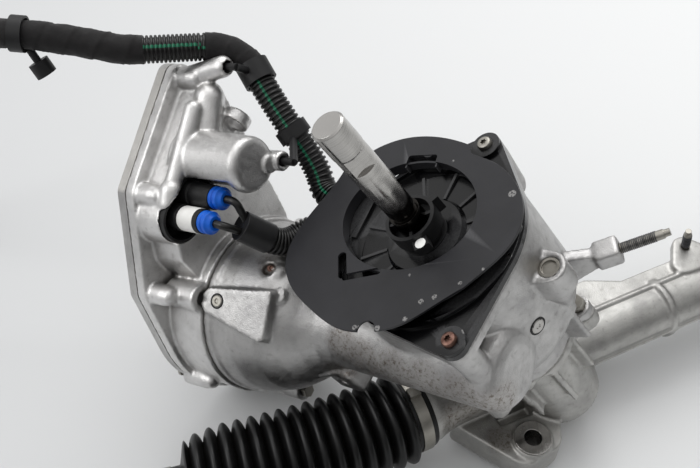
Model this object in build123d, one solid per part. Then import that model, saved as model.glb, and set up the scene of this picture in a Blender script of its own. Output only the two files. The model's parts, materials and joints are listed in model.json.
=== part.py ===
from build123d import *
import os
from math import acos, asin, atan, atan2, cos, degrees, pi, radians, sin, sqrt, tan

# Electric steering rack with the assist motor on the pinion. Millimetres.
# Working frame: X along the rack, +Y to the back, +Z up, origin on the rack axis where the
# pinion passes it. export() moves everything so that the front mounting bore is the origin.

# --- driving dimensions -------------------------------------------------------------------
RACK_R = 14.0                 # rack bar
TUBE_R = 19.8                 # cast housing tube
END_R = 24.0                  # housing ends, which carry the boots
BORE_R = 15.2                 # clear bore of the housing
HOUSING_LEFT, HOUSING_RIGHT = -108.0, 400.0
BALL_LEFT, BALL_RIGHT = -164.0, 526.0
BALL_R = 13.0
SEAT_R = 14.5                 # outside of the plastic ball seat
RUN_GAP = 0.05                # radial running clearance
SOCKET_R = 17.5
SOCKET_BACK = 18.0            # ball centre to the back face of its socket
ROD_R = 7.0
ROD_LENGTH = 290.0
ROD_YAW_LEFT, ROD_YAW_RIGHT = 11.6, 5.0   # toward +Y at rest
BOOT_VALLEY, BOOT_CREST, BOOT_WALL = 24.5, 32.5, 1.6
BOOT_LEFT_LENGTH, BOOT_RIGHT_LENGTH = 158.0, 226.0
FOLDS = 16

PINION_LEAN, PINION_ROLL = 28.92, 12.82   # pinion axis, from upright toward -X and +Y
PINION_OFFSET = 17.0          # pinion axis to rack axis
WORM_TURN = -60.38            # motor direction about the pinion axis
MODULE = 2.0
PRESSURE = 30.0
PINION_TEETH = 7
ADDENDUM, DEDENDUM = 1.4, 1.8
BACKLASH = 0.15               # taken off each flank

WORM_N, WORM_H = -46.0, 131.0  # worm axis in the gear frame
WORM_MODULE = 1.8
WORM_STARTS, WHEEL_TEETH = 2, 41
WORM_PITCH_R = -WORM_N - WORM_MODULE * WHEEL_TEETH / 2
WHEEL_H0, WHEEL_H1 = 124.0, 138.0

COVER_H = 180.0               # top face of the gear housing
CASE_R = 60.0
SHIELD_H = 193.0
RIM_H = 186.0                 # rim of the sensor cover, under the shield
SHAFT_R, TIP_R, SHAFT_TOP = 9.5, 9.8, 296.0
FLANGE_H = 60.0               # seat of the gear housing on the pinion tower
BOWL_M = -150.0               # motor flange
ECU_FRONT, ECU_SEAM, ECU_BACK = -150.0, -192.0, -200.0
CONDUIT_R = 9.2
LOOM_R = 10.0
ECU_R = 66.0                  # round end of the control unit, which the unit also stands on

# --- frames ---------------------------------------------------------------------------------
PIN = Vector(
    -sin(radians(PINION_LEAN)),
    cos(radians(PINION_LEAN)) * sin(radians(PINION_ROLL)),
    cos(radians(PINION_LEAN)) * cos(radians(PINION_ROLL)),
)
SIDE = (Vector(1, 0, 0) - PIN * PIN.X).normalized()
WORM_DIR = SIDE * cos(radians(WORM_TURN)) + PIN.cross(SIDE) * sin(radians(WORM_TURN))
PERP = SIDE.cross(PIN)         # from the rack axis to the pinion axis
GEAR = Plane(origin=PERP * PINION_OFFSET, x_dir=WORM_DIR, z_dir=PIN)   # local x, y, z = m, n, h

LUG = Vector(-32, -48, 0)
FLOOR_Z = GEAR.from_local_coords(Vector(ECU_BACK, WORM_N, WORM_H)).Z - ECU_R * (1 - WORM_DIR.Z ** 2) ** 0.5
LOOM_Z = FLOOR_Z + LOOM_R
ORIGIN = Vector(LUG.X, LUG.Y, FLOOR_Z)

NODES = {}


def keep(name, shape, gear=False):
    """Put a finished piece on the list, moved out of the gear frame if it was made there."""
    NODES[name] = GEAR.location * shape if gear else shape


# --- small helpers --------------------------------------------------------------------------
def rod(axis, radius, start, end, at=(0, 0)):
    """Cylinder along X, Y or Z from start to end, with its axis at the other two coordinates."""
    a, b = at
    plane = {
        "X": Plane(origin=(start, a, b), z_dir=(1, 0, 0)),
        "Y": Plane(origin=(a, start, b), z_dir=(0, 1, 0)),
        "Z": Plane(origin=(a, b, start), z_dir=(0, 0, 1)),
    }[axis]
    return plane * Cylinder(radius, end - start, align=(Align.CENTER, Align.CENTER, Align.MIN))


def ring(axis, outer, inner, start, end, at=(0, 0)):
    return rod(axis, outer, start, end, at) - rod(axis, inner, start - 1, end + 1, at)


def lathe(points, axis="X", at=(0, 0)):
    """Turn a closed outline of (along, radius) points about an axis."""
    a, b = at
    plane = {
        "X": Plane(origin=(0, a, b), x_dir=(1, 0, 0), z_dir=(0, 0, 1)),
        "Z": Plane(origin=(a, b, 0), x_dir=(0, 0, 1), z_dir=(0, 1, 0)),
    }[axis]
    face = plane * make_face(Polyline(*points, close=True))
    return revolve(face, Axis(plane.origin, plane.x_dir))


def bar(start, end, radius):
    """Round bar between two points."""
    start, end = Vector(start), Vector(end)
    along = Plane(origin=start, z_dir=end - start)
    return along * Cylinder(radius, (end - start).length, align=(Align.CENTER, Align.CENTER, Align.MIN))


def hull(circles):
    """Convex outline round (x, y, r) circles."""
    return make_hull([Pos(x, y) * Edge.make_circle(max(r, 0.5)) for x, y, r in circles])


def join(first, *rest):
    for piece in rest:
        first = first + piece
    return first


def hex_bolt(axis_plane, radius, head_r, head_h, length):
    """Screw with a hexagon head standing on the plane and its shank below."""
    head = extrude(RegularPolygon(head_r, 6), head_h)
    shank = Pos(0, 0, -length) * Cylinder(radius, length, align=(Align.CENTER, Align.CENTER, Align.MIN))
    return axis_plane * (head + shank)


def bearing(axis, bore, outer, start, end, at, balls=9):
    """Ball bearing: two races and a row of balls."""
    width = end - start
    ball_r = (outer - bore) * 0.22
    mid_r = (outer + bore) / 2
    a, b = at
    middle = (start + end) / 2
    plane = {
        "X": Plane(origin=(middle, a, b), z_dir=(1, 0, 0)),
        "Z": Plane(origin=(a, b, middle), z_dir=(0, 0, 1)),
    }[axis]
    inner = ring(axis, mid_r - ball_r * 0.75, bore + RUN_GAP, start, end, at)
    shell = ring(axis, outer, mid_r + ball_r * 0.75, start, end, at)
    track = plane * Torus(mid_r, ball_r + 0.1)
    beads = [plane * Rot(0, 0, 360 / balls * i) * Pos(mid_r, 0) * Sphere(ball_r) for i in range(balls)]
    return Compound(children=[inner - track, shell - track, *beads])


# --- rack, ball joints and tie rods -------------------------------------------------------
TOOTH_PITCH = pi * MODULE
RACK_LINE = PINION_OFFSET - MODULE * PINION_TEETH / 2   # pitch line from the rack axis
TOOTH_COUNT = 28
TOOTH_FIRST = -8              # index of the first gap, counted from the pinion
ALONG = PERP.cross(PIN)
ALONG = ALONG if ALONG.X > 0 else ALONG * -1
RACK_LEFT = BALL_LEFT + SOCKET_BACK
RACK_RIGHT = BALL_RIGHT - SOCKET_BACK


def rack_tooth_cutter():
    """Everything above the tooth line: a comb whose grooves run along the pinion axis."""
    slope = tan(radians(PRESSURE))
    half = TOOTH_PITCH / 4 + BACKLASH
    top = half + ADDENDUM * slope
    foot = half - DEDENDUM * slope
    points = []
    for i in range(TOOTH_COUNT):
        x = (TOOTH_FIRST + i) * TOOTH_PITCH
        points += [(x - top, ADDENDUM), (x - foot, -DEDENDUM), (x + foot, -DEDENDUM), (x + top, ADDENDUM)]
    points = [(points[0][0], 12)] + points + [(points[-1][0], 12)]
    plane = Plane(origin=PERP * RACK_LINE, x_dir=ALONG, z_dir=ALONG.cross(PERP))
    return extrude(plane * make_face(Polyline(*points, close=True)), 95, both=True)


def rack_bar():
    body = rod("X", RACK_R, RACK_LEFT, RACK_RIGHT) - rack_tooth_cutter()
    for end, inward in ((RACK_LEFT, 1), (RACK_RIGHT, -1)):
        a, b = sorted((end, end + inward * 24))
        body -= rod("X", 8.0, a, b)
    return body


def facing(side, centre, yaw=0):
    """Frame at a ball centre with its x axis pointing out along the rod."""
    turn = 180 - yaw if side == "left" else yaw
    return Location((centre, 0, 0), (0, 0, turn))


def joint_socket():
    """Ball joint socket with its screw stud, drawn with the rod pointing along +X."""
    lip = SEAT_R * cos(radians(57))
    outline = [(-SOCKET_BACK, 0), (-SOCKET_BACK, SOCKET_R), (2, SOCKET_R), (lip + 1.5, 15.6), (lip + 1.5, 0)]
    body = lathe(outline) + rod("X", 8.0, -SOCKET_BACK - 22, -SOCKET_BACK)
    body -= Sphere(SEAT_R)
    body -= lathe([(0, 0), (20, 0), (20, 20 * tan(radians(58)))])
    for turn in (90, -90):
        body -= Rot(turn, 0, 0) * Pos(-13.5, 0, 17.5) * Box(6, 36, 3)
    return body


def ball_seat():
    body = Sphere(SEAT_R - RUN_GAP) - Sphere(BALL_R + RUN_GAP)
    return body - lathe([(0, 0), (20, 0), (20, 20 * tan(radians(47)))])


def tie_rod():
    outline = [(0, 0), (0, 6), (18, 6), (26, ROD_R), (238, ROD_R), (241, 6.2), (262.6, 6.2), (263.5, 6.6)]
    outline += [(ROD_LENGTH - 1.5, 6.6), (ROD_LENGTH, 5.4), (ROD_LENGTH, 0)]
    shank = lathe(outline)
    flats = Pos(226, 0, 0) * (Box(14, 30, 30) - Box(15, 30, 12.4))
    return Sphere(BALL_R) + shank - flats


def lock_nut():
    nut = Plane(origin=(250, 0, 0), z_dir=(1, 0, 0)) * extrude(RegularPolygon(12.4, 6), 11)
    crown = lathe([(249, 0), (249, 10.6), (250.8, 13.7), (260.2, 13.7), (262, 10.6), (262, 0)])
    return (nut & crown) - rod("X", 6.2, 240, 270)


def boot_spine(length, yaw, nose_from_ball):
    """Centre line of a boot in the frame of its ball joint, +X out along the unturned rod."""
    nose = Vector(nose_from_ball * cos(radians(yaw)), nose_from_ball * sin(radians(yaw)))
    start = Vector(nose_from_ball - length, 0)
    reach = (nose - start).length
    tangent = Vector(cos(radians(yaw)), sin(radians(yaw)))
    return Spline(start, nose, tangents=[Vector(1, 0) * reach, tangent * reach])


def boot(side, centre, length, nose_from_ball):
    """Bellows from the housing end to the rod, bent along its spine."""
    yaw = -ROD_YAW_LEFT if side == "left" else ROD_YAW_RIGHT
    spine = boot_spine(length, yaw, nose_from_ball)
    skins = []
    for inset in (0, BOOT_WALL):
        rings = []
        last = 2 * FOLDS
        for i in range(last + 1):
            at = i / last
            radius = (BOOT_CREST if i % 2 else BOOT_VALLEY) - 5.5 * max(0, at - 0.8) / 0.2
            if i == last:
                radius = 11.0
            rings.append(Wire(Plane(spine ^ at) * Edge.make_circle(radius - inset)))
        skins.append(Solid.make_loft(rings, ruled=True))
    shell = skins[0] - skins[1]
    start, nose = spine @ 0, spine @ 1
    root = ring("X", BOOT_VALLEY + 1.6, END_R, start.X - 14, start.X + 0.8)
    sleeve = Location((0, 0, 0), (0, 0, yaw)) * ring("X", 10.6, ROD_R, nose_from_ball - 1, nose_from_ball + 13)
    shell = shell - rod("X", END_R, start.X - 2, start.X + 0.8)
    shell = shell - Location((0, 0, 0), (0, 0, yaw)) * rod("X", ROD_R, nose_from_ball - 30, nose_from_ball + 30)
    return facing(side, centre) * (shell + root + sleeve)


def clamp_band(side, centre, radius, start, width, yaw=0):
    """Crimped steel band with its raised ear."""
    band = ring("X", radius + 0.9, radius, start, start + width)
    ear = Pos(start + width / 2, 0, radius + 1.6) * Box(width, 7, 3.4)
    ear -= Pos(start + width / 2, 0, radius + 1.4) * Box(width + 2, 4.6, 1.4)
    ear -= rod("X", radius, start - 2, start + width + 2)
    return facing(side, centre, yaw) * (band + ear)


def rack_side():
    keep("rack_bar", rack_bar())
    ends = (
        ("left", BALL_LEFT, ROD_YAW_LEFT, BOOT_LEFT_LENGTH, BALL_LEFT - HOUSING_LEFT),
        ("right", BALL_RIGHT, ROD_YAW_RIGHT, BOOT_RIGHT_LENGTH, HOUSING_RIGHT - BALL_RIGHT),
    )
    sockets, bands = [], []
    for side, centre, yaw, length, housing_end in ends:
        nose = housing_end + length
        sockets.append(facing(side, centre) * joint_socket())
        keep("ball_seat_" + side, facing(side, centre, yaw) * ball_seat())
        keep("tie_rod_" + side, facing(side, centre, yaw) * tie_rod())
        keep("lock_nut_" + side, facing(side, centre, yaw) * lock_nut())
        keep("boot_" + side, boot(side, centre, length, nose))
        bands.append(clamp_band(side, centre, BOOT_VALLEY + 1.6, housing_end - 10, 8))
        keep("boot_clip_" + side, clamp_band(side, centre, 10.6, nose + 4, 6, yaw))
    keep("joint_sockets", Compound(children=sockets))
    keep("boot_bands", Compound(children=bands))


# --- rack housing -------------------------------------------------------------------------
TOWER_R, SEAT_R_FLANGE = 27.0, 38.0
NECK_SCREWS = (35, 155, 275)  # angles of the screws that join the two castings
SCREW_R = 47.0
YOKE_R, YOKE_END = 15.0, 48.0
YOKE = Plane(origin=(0, 0, 0), x_dir=(1, 0, 0), z_dir=PERP * -1)
STUD_FOOT = Vector(146, 27, 22.8)
STUD_LEAN = (-0.17, 0, 1)
FAR_LUG_X = 330.0
LUG_TOP = -15.0


def upright_bore(x, y, radius):
    return rod("Z", radius, FLOOR_Z - 1, 60, (x, y))


def front_lug(x, y, reach, thickness):
    """Mounting lug: a web from the tube, narrowing to a round pad with an upright bore."""
    web = hull([(x - reach, -12, 5), (x + reach, -12, 5), (x - 6, y, 15), (x + 8, y + 2, 15)])
    plate = extrude(Pos(0, 0, FLOOR_Z + 6) * web, thickness - 6)
    pad = rod("Z", 14, FLOOR_Z, FLOOR_Z + thickness + 3, (x, y))
    return plate + pad


def tower():
    """Pinion tower, in the gear frame."""
    body = rod("Z", TOWER_R, -24, FLANGE_H - 8) + rod("Z", 17, -36, -20)
    body += rod("Z", SEAT_R_FLANGE, FLANGE_H - 8, FLANGE_H)
    for angle in NECK_SCREWS:
        body += Rot(0, 0, angle) * extrude(Pos(0, 0, FLANGE_H - 12) * hull([(30, 0, 12), (SCREW_R, 0, 8)]), 12)
    for angle in range(20, 380, 45):
        body += Rot(0, 0, angle) * Pos(29, 0, 32) * Box(14, 4, 44)
    return body


def tower_cavity():
    body = rod("Z", 11, -30, FLANGE_H + 1) + rod("Z", 13, -37, -22)
    body += rod("Z", 20, 22, FLANGE_H + 1)
    for angle in NECK_SCREWS:
        body += Rot(0, 0, angle) * rod("Z", 3, FLANGE_H - 14, FLANGE_H + 1, (SCREW_R, 0))
    return body


def rack_housing():
    outline = [(HOUSING_LEFT, 0), (HOUSING_LEFT, END_R), (-90, END_R), (-84, 22), (-68, TUBE_R)]
    outline += [(372, TUBE_R), (380, END_R), (HOUSING_RIGHT, END_R), (HOUSING_RIGHT, 0)]
    body = lathe(outline)
    block = fillet(Box(64, 47, 50).edges(), 5)
    body += Pos(-13, 3.5, 4) * block
    # the web along the back of the tube, and the bands round it
    web = Polyline((19, 0), (19, 27), (30, 36), (62, 36), (86, 24), (250, 21.5), (250, 0), close=True)
    body += Pos(0, 0, 10) * extrude(make_face(web), 7)
    body += Pos(0, 0, -12) * extrude(make_face(web), 5)
    for x, width, radius in ((103, 5, 22.5), (212, 4, 22), (300, 5, 22.5), (362, 4, 22)):
        body += rod("X", radius, x, x + width)
    for turn in (90, 270, -25):
        body += Rot(turn, 0, 0) * Pos(160, 0, TUBE_R) * Box(280, 3.4, 5.2)
    # mounting lugs
    for x, reach in ((LUG.X, 38), (FAR_LUG_X, 30)):
        body += front_lug(x, LUG.Y, reach, LUG_TOP - FLOOR_Z)
    # clip lug with its leaning stud boss
    body += extrude(Pos(0, 0, 14) * hull([(134, 14, 8), (158, 12, 8), (STUD_FOOT.X, STUD_FOOT.Y + 1, 9)]), 8)
    body += YOKE * rod("Z", 21.5, 0, YOKE_END)
    body += GEAR.location * tower()
    body -= rod("X", BORE_R, HOUSING_LEFT - 1, HOUSING_RIGHT + 1)
    body -= rod("X", 17.5, 366, HOUSING_RIGHT + 1)
    body -= GEAR.location * (tower_cavity() + rod("Z", 18, -60, -36))
    body -= YOKE * rod("Z", YOKE_R, 0, YOKE_END + 1)
    for x in (LUG.X, FAR_LUG_X):
        body -= upright_bore(x, LUG.Y, 8.5)
        body -= Pos(x, -24, LUG_TOP) * Box(26, 9, 16)
    body -= rod("Z", 6, 24, 40, (1, 9))
    body -= Plane(origin=STUD_FOOT, z_dir=STUD_LEAN) * Cylinder(2.6, 26)
    return body


def saddle():
    """Rack yoke: a plug with a hollow that holds the rack against the pinion."""
    body = rod("Z", YOKE_R - RUN_GAP, 4, 33) - rod("Z", 8, 22, 34)
    return YOKE * body - rod("X", RACK_R + RUN_GAP, -40, 40)


def yoke_spring():
    coil = Helix(4.4, 15.0, 5.6, center=(0, 0, 23.5))
    section = Plane(origin=coil @ 0, z_dir=coil % 0) * Circle(1.1)
    return YOKE * sweep(section, path=coil, is_frenet=True)


def yoke_plug():
    body = rod("Z", YOKE_R, 40, YOKE_END + 2) + rod("Z", 4, 30, 41)
    return YOKE * (body - Pos(0, 0, YOKE_END) * extrude(RegularPolygon(7, 6), 3))


def mount_sleeve(x):
    body = ring("Z", 8.5, 6.2, FLOOR_Z, LUG_TOP + 5, (x, LUG.Y))
    return body + ring("Z", 13, 6.2, LUG_TOP + 3, LUG_TOP + 5, (x, LUG.Y))


def stud(foot, along, buried, bare, radius):
    """Plain stud that stands straight out of its pad, with a narrower pilot end."""
    plane = Plane(origin=foot, z_dir=along)
    root = radius - 0.4
    outline = [(-buried, 0), (-buried, root), (0, root), (0, radius), (bare - 4, radius), (bare - 3, radius - 0.7)]
    outline += [(bare, radius - 0.7), (bare, 0)]
    face = Plane(origin=plane.origin, x_dir=plane.z_dir, z_dir=plane.x_dir) * make_face(Polyline(*outline, close=True))
    return revolve(face, Axis(plane.origin, plane.z_dir))


def rack_case():
    keep("rack_housing", rack_housing())
    bush = ring("X", 17.5, RACK_R + RUN_GAP, 366, 392)
    slots = join(*[Rot(i * 60, 0, 0) * Pos(372, 0, 17) * Box(14, 2, 10) for i in range(6)])
    keep("rack_bush", bush - slots)
    keep("rack_yoke", saddle())
    keep("yoke_spring", yoke_spring())
    keep("yoke_plug", yoke_plug())
    keep("mount_sleeves", Compound(children=[mount_sleeve(x) for x in (LUG.X, FAR_LUG_X)]))
    cap = rod("Z", 13, -36, -33.5) + ring("Z", 17.5, 9, -38.5, -36) + rod("Z", 9, -38, -36)
    keep("pinion_cap", cap, gear=True)


# --- pinion, worm wheel and input shaft ---------------------------------------------------
def involute(base, radius):
    """Angle, in radians, that an involute from this base circle has turned at a radius."""
    open_angle = acos(min(1, base / radius))
    return tan(open_angle) - open_angle


def spur_outline(teeth, module, pressure, addendum, dedendum, backlash, steps=4):
    """Involute gear outline as a face, with a tooth centred on the x axis."""
    pitch_r = teeth * module / 2
    base = pitch_r * cos(radians(pressure))
    root, tip = pitch_r - dedendum, pitch_r + addendum
    half = pi / teeth / 2 - backlash / pitch_r + involute(base, pitch_r)
    low = max(base, root)
    flank = [low + (tip - low) * i / steps for i in range(steps + 1)]
    edges = []
    for i in range(teeth):
        turn = 2 * pi * i / teeth
        up = [(r * cos(turn - half + involute(base, r)), r * sin(turn - half + involute(base, r))) for r in flank]
        down = [(r * cos(turn + half - involute(base, r)), r * sin(turn + half - involute(base, r))) for r in flank]
        foot_half = half - involute(base, low)
        foot_a = (root * cos(turn - foot_half), root * sin(turn - foot_half))
        foot_b = (root * cos(turn + foot_half), root * sin(turn + foot_half))
        nxt = turn + 2 * pi / teeth - foot_half
        foot_c = (root * cos(nxt), root * sin(nxt))
        if low > root + 0.01:
            edges += [Line(foot_a, up[0]), Line(down[0], foot_b)]
        crest = (tip * cos(turn), tip * sin(turn))
        edges += [Spline(*up), ThreePointArc(up[-1], crest, down[-1]), Spline(*down)]
        middle = (turn + foot_half + nxt) / 2
        edges.append(ThreePointArc(foot_b if low > root + 0.01 else down[0], (root * cos(middle), root * sin(middle)), foot_c))
    return make_face(edges)


RACK_ANGLE = degrees(atan2(-(PERP.dot(PIN.cross(WORM_DIR))), -(PERP.dot(WORM_DIR))))


def pinion_shaft():
    teeth = spur_outline(PINION_TEETH, MODULE, PRESSURE, ADDENDUM, DEDENDUM, BACKLASH)
    body = Rot(0, 0, RACK_ANGLE) * Pos(0, 0, -13) * extrude(teeth, 28)
    body += rod("Z", 4.9, -32, -13) + lathe([(15, 0), (15, 5.2), (22, 9), (22, 0)], "Z")
    body += rod("Z", 10, 22, 122) + lathe([(120, 0), (122, 11), (150, 11), (150, 0)], "Z")
    body += rod("Z", 14, 148, 160)
    body -= rod("Z", SHAFT_R + RUN_GAP, 150, 161)
    body -= Pos(0, 0, 156) * Box(30, 8, 10)
    return body - rod("Z", 4.45, 24, 151)


def input_shaft():
    outline = [(150.4, 0), (150.4, SHAFT_R), (215, SHAFT_R), (215, 7.6), (219, 7.6), (219, 8.6), (240, 8.6), (240, SHAFT_R)]
    outline += [(275.5, SHAFT_R), (276, TIP_R), (SHAFT_TOP - 1.2, TIP_R), (SHAFT_TOP, TIP_R - 1.2), (SHAFT_TOP, 0)]
    body = lathe(outline, "Z")
    # the flat the column clamp bolt passes, and the locating step beside it
    body -= Rot(0, 0, -35) * Pos(SHAFT_R + 2.2, 0, 268) * Box(9, 24, 13)
    body -= Rot(0, 0, 145) * Pos(SHAFT_R + 3.0, 0, 262) * Box(8, 24, 26)
    lug = Pos(0, 0, 155.5) * Box(24.6, 5.6, 5) & rod("Z", 12.3, 150, 160)
    return (body + lug) - rod("Z", 4.5, 150, 252)


def worm_wheel_ring():
    gear = spur_outline(WHEEL_TEETH, WORM_MODULE, 20, 1.5, 2.1, 0.2, steps=2)
    lead_angle = atan(WORM_MODULE * WORM_STARTS / 2 / WORM_PITCH_R)
    pitch_r = WORM_MODULE * WHEEL_TEETH / 2
    width = WHEEL_H1 - WHEEL_H0
    twist = degrees(width * tan(lead_angle) / pitch_r)
    start = -90 - twist / 2
    body = Pos(0, 0, WHEEL_H0) * Solid.extrude_linear_with_rotation(
        (Rot(0, 0, start) * gear).face(), (0, 0, 0), (0, 0, width), twist
    )
    return body - rod("Z", 28, WHEEL_H0 - 1, WHEEL_H1 + 1)


def worm_wheel_hub():
    body = ring("Z", 28, 11, 127, 135) - ring("Z", 24, 16, 126, 129) - ring("Z", 24, 16, 133, 136)
    body += ring("Z", 16, 11, 122.5, 142)
    for i in range(6):
        body -= Rot(0, 0, i * 60) * rod("Z", 2.6, 126, 137, (20, 0))
    return body + ring("Z", 28, 24, WHEEL_H0, WHEEL_H1)


def alignment_ring():
    """Plastic ring on the shaft, with the tab that shows the straight-ahead position."""
    body = ring("Z", 15.6, 13.4, 197, 208) + ring("Z", 15.6, SHAFT_R, 197, 201)
    for angle in (30, 120, 210, 300):
        body += Rot(0, 0, angle) * Pos(12, 0, 203) * Box(5.5, 2, 8)
    tab = Rot(0, 0, -45) * (Pos(17, 0, 202) * Box(9, 9, 6))
    body += tab - rod("Z", 13.4, 190, 210)
    body += Rot(0, 0, 60) * Pos(17.4, 0, 202.5) * Box(5, 4.5, 11)
    return body - rod("Z", SHAFT_R, 190, 215)


def steering_input():
    keep("pinion_shaft", pinion_shaft(), gear=True)
    keep("worm_wheel_hub", worm_wheel_hub(), gear=True)
    keep("worm_wheel_ring", worm_wheel_ring(), gear=True)
    torsion = lathe([(26, 0), (26, 4.45), (44, 4.45), (50, 3), (228, 3), (234, 4.45), (250, 4.45), (250, 0)], "Z")
    keep("torsion_bar", torsion, gear=True)
    keep("input_shaft", input_shaft(), gear=True)
    keep("alignment_ring", alignment_ring(), gear=True)
    keep("sensor_magnet", ring("Z", 20, SHAFT_R, 164, 172), gear=True)
    lower, upper = bearing("Z", 4.9, 13, -33, -25, (0, 0), 8), bearing("Z", 10, 24, 96, 109, (0, 0), 10)
    keep("pinion_bearings", Compound(children=[lower, upper]), gear=True)


# --- gear housing -------------------------------------------------------------------------
WORM_AT = (WORM_N, WORM_H)
COVER_LOBES = ((9, 67), (46, -58), (-58, -30))     # cover screws, (m, n)
ECU_SCREWS = ((47, 267), (-32, 246), (-80, 197), (-109, 128), (-20, 76), (17, 112))   # (n, h)
ECU_PLUGS = ((-36, 229), (-19, 231))
DOME = (4, 238)
FLANGE_SCREWS = (115, 235, 355)    # angles round the motor axis
EAR_R = 65.0
EAR_TURN, EAR_AT, EAR_TOP = 7.0, 66.0, 159.0   # side boss of the case: angle, radius, height


def around(angle, radius, centre=WORM_AT):
    """(n, h) of a point round the motor axis."""
    return (centre[0] + radius * cos(radians(angle)), centre[1] + radius * sin(radians(angle)))


def facing_motor(m):
    """Plane square to the motor axis, x along n and y along h."""
    return Plane(origin=(m, 0, 0), x_dir=(0, 1, 0), z_dir=(1, 0, 0))


def cover_outline(inset=0):
    return hull([(0, 0, CASE_R - inset)] + [(m, n, 9 - inset) for m, n in COVER_LOBES])


def neck_and_case():
    outer = [(FLANGE_H, 0), (FLANGE_H, 38), (73, 38.6), (100, 57), (106, CASE_R), (COVER_H, CASE_R), (COVER_H, 0)]
    body = lathe(outer, "Z")
    body += Pos(0, 0, COVER_H - 8) * extrude(cover_outline(), 8)
    for (m, n), foot in zip(COVER_LOBES, (138, 122, 150)):
        body += lathe([(foot, 0), (foot, 5.5), (foot + 6, 7.5), (COVER_H - 8, 9), (COVER_H - 8, 0)], "Z", (m, n))
    for angle in NECK_SCREWS:
        body += Rot(0, 0, angle) * extrude(Pos(0, 0, FLANGE_H) * hull([(30, 0, 12), (SCREW_R, 0, 8)]), 8)
    for angle in (12, 62):
        body += Rot(0, 0, angle) * Pos(46, 0, 82) * Box(16, 3.5, 40)
    return body


def case_bosses():
    """Side boss with its plug seat, and the arm that carries the harness stud."""
    side = Rot(0, 0, EAR_TURN)
    body = side * extrude(Pos(0, 0, EAR_TOP - 20) * hull([(46, 0, 14), (EAR_AT, 0, 10.5)]), 20)
    body += side * lathe([(EAR_TOP - 44, 0), (EAR_TOP - 44, 2), (EAR_TOP - 20, 10.5), (EAR_TOP - 20, 0)], "Z", (EAR_AT - 4, 0))
    body += side * (Pos(54, 0, EAR_TOP - 38) * Box(14, 9, 34))
    arm = Rot(0, 0, 32) * Pos(0, 0, 115)
    web = Plane.XZ * make_face(Polyline((50, -16), (50, 15), (76, 6), (92, 6), (92, -6), (76, -7), close=True))
    body += arm * extrude(web, 4, both=True)
    body += arm * (Pos(84, 0, 0) * fillet(Box(16, 15, 13).edges(), 2))
    return body


def motor_bowl():
    outline = [(BOWL_M, 0), (BOWL_M, 60), (-144, 60), (-142.5, 58.4), (-130, 57), (-112, 51.5), (-98, 43.5)]
    outline += [(-88, 35), (-78, 29.5), (-68, 27), (46, 27), (52, 25), (55.5, 21), (57, 15), (57, 0)]
    body = lathe(outline, "X", WORM_AT)
    for angle in FLANGE_SCREWS[1:]:
        n, h = around(angle, EAR_R)
        body += rod("X", 8, BOWL_M, -132, (n, h))
    # the raised pad that runs back from the top flange screw and dies into the bowl
    out = Vector(0, *around(FLANGE_SCREWS[0], 1, (0, 0)))
    foot = Vector(BOWL_M + 9, WORM_N, WORM_H) + out * 62
    along = Vector(1, 0, 0) * cos(radians(12)) - out * sin(radians(12))
    pad = hull([(0, 0, 9), (40, -14, 5), (42, 12, 3)])
    wedge = extrude(Plane(origin=foot, x_dir=along, z_dir=along.cross(out.cross(Vector(1, 0, 0)))) * pad, -24)
    body += wedge - rod("X", 90, BOWL_M - 30, BOWL_M, WORM_AT)
    # peg and screw pad beside it, and the two ribs under the bowl
    body += bar((-106, -50, 150), (-100, -53.5, 176), 5.5)
    body += Pos(-112, -39, 172) * Sphere(11)
    for angle in (205, 255, 300):
        rib = make_face(Polyline((-142, 40), (-142, 61), (-70, 30), (-70, 15), close=True))
        body += Pos(0, WORM_N, WORM_H) * Rot(angle - 90, 0, 0) * extrude(Plane.XZ * rib, 2, both=True)
    return body


def under_lug():
    """Square lug with a blind hole under the worm chamber."""
    lug = fillet(Box(24, 18, 26).edges(), 4)
    return Pos(-78, -68, 106) * lug


def case_cavity():
    hollow = [(59, 0), (59, 24), (64, 31), (74, 33), (90, 44), (92, 44), (92, 16), (95, 16), (95, 24)]
    hollow += [(112, 24), (112, 52), (COVER_H + 1, 52), (COVER_H + 1, 0)]
    body = lathe(hollow, "Z")
    chamber = [(-151, 0), (-151, 55.5), (-137, 54), (-133, 44), (-108, 44), (-105.5, 40), (-104, 40), (-104, 13)]
    chamber += [(-97, 13), (-97, 17), (-60, 17), (-60, 14.05), (50, 14.05), (50, 0)]
    body += lathe(chamber, "X", WORM_AT)
    for m, n in COVER_LOBES:
        body += rod("Z", 2.6, COVER_H - 18, COVER_H + 1, (m, n))
    for angle in NECK_SCREWS:
        body += Rot(0, 0, angle) * rod("Z", 3.3, FLANGE_H - 1, 75, (SCREW_R, 0))
    body += Rot(0, 0, EAR_TURN) * rod("Z", 6.5, EAR_TOP - 8, EAR_TOP + 1, (EAR_AT, 0))
    body += Rot(0, 0, 32) * rod("X", 2.6, 78, 93, (0, 115))
    for angle in FLANGE_SCREWS:
        body += rod("X", 2.6, BOWL_M - 1, -131, around(angle, EAR_R))
    body += Plane(origin=(-112, -39, 184), z_dir=(0.3, 0.1, 1)) * Cylinder(4.5, 14)
    body += rod("Y", 3, -80, -66, (-78, 106))
    return body


def gear_housing():
    return neck_and_case() + case_bosses() + motor_bowl() + under_lug() - case_cavity()


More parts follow.
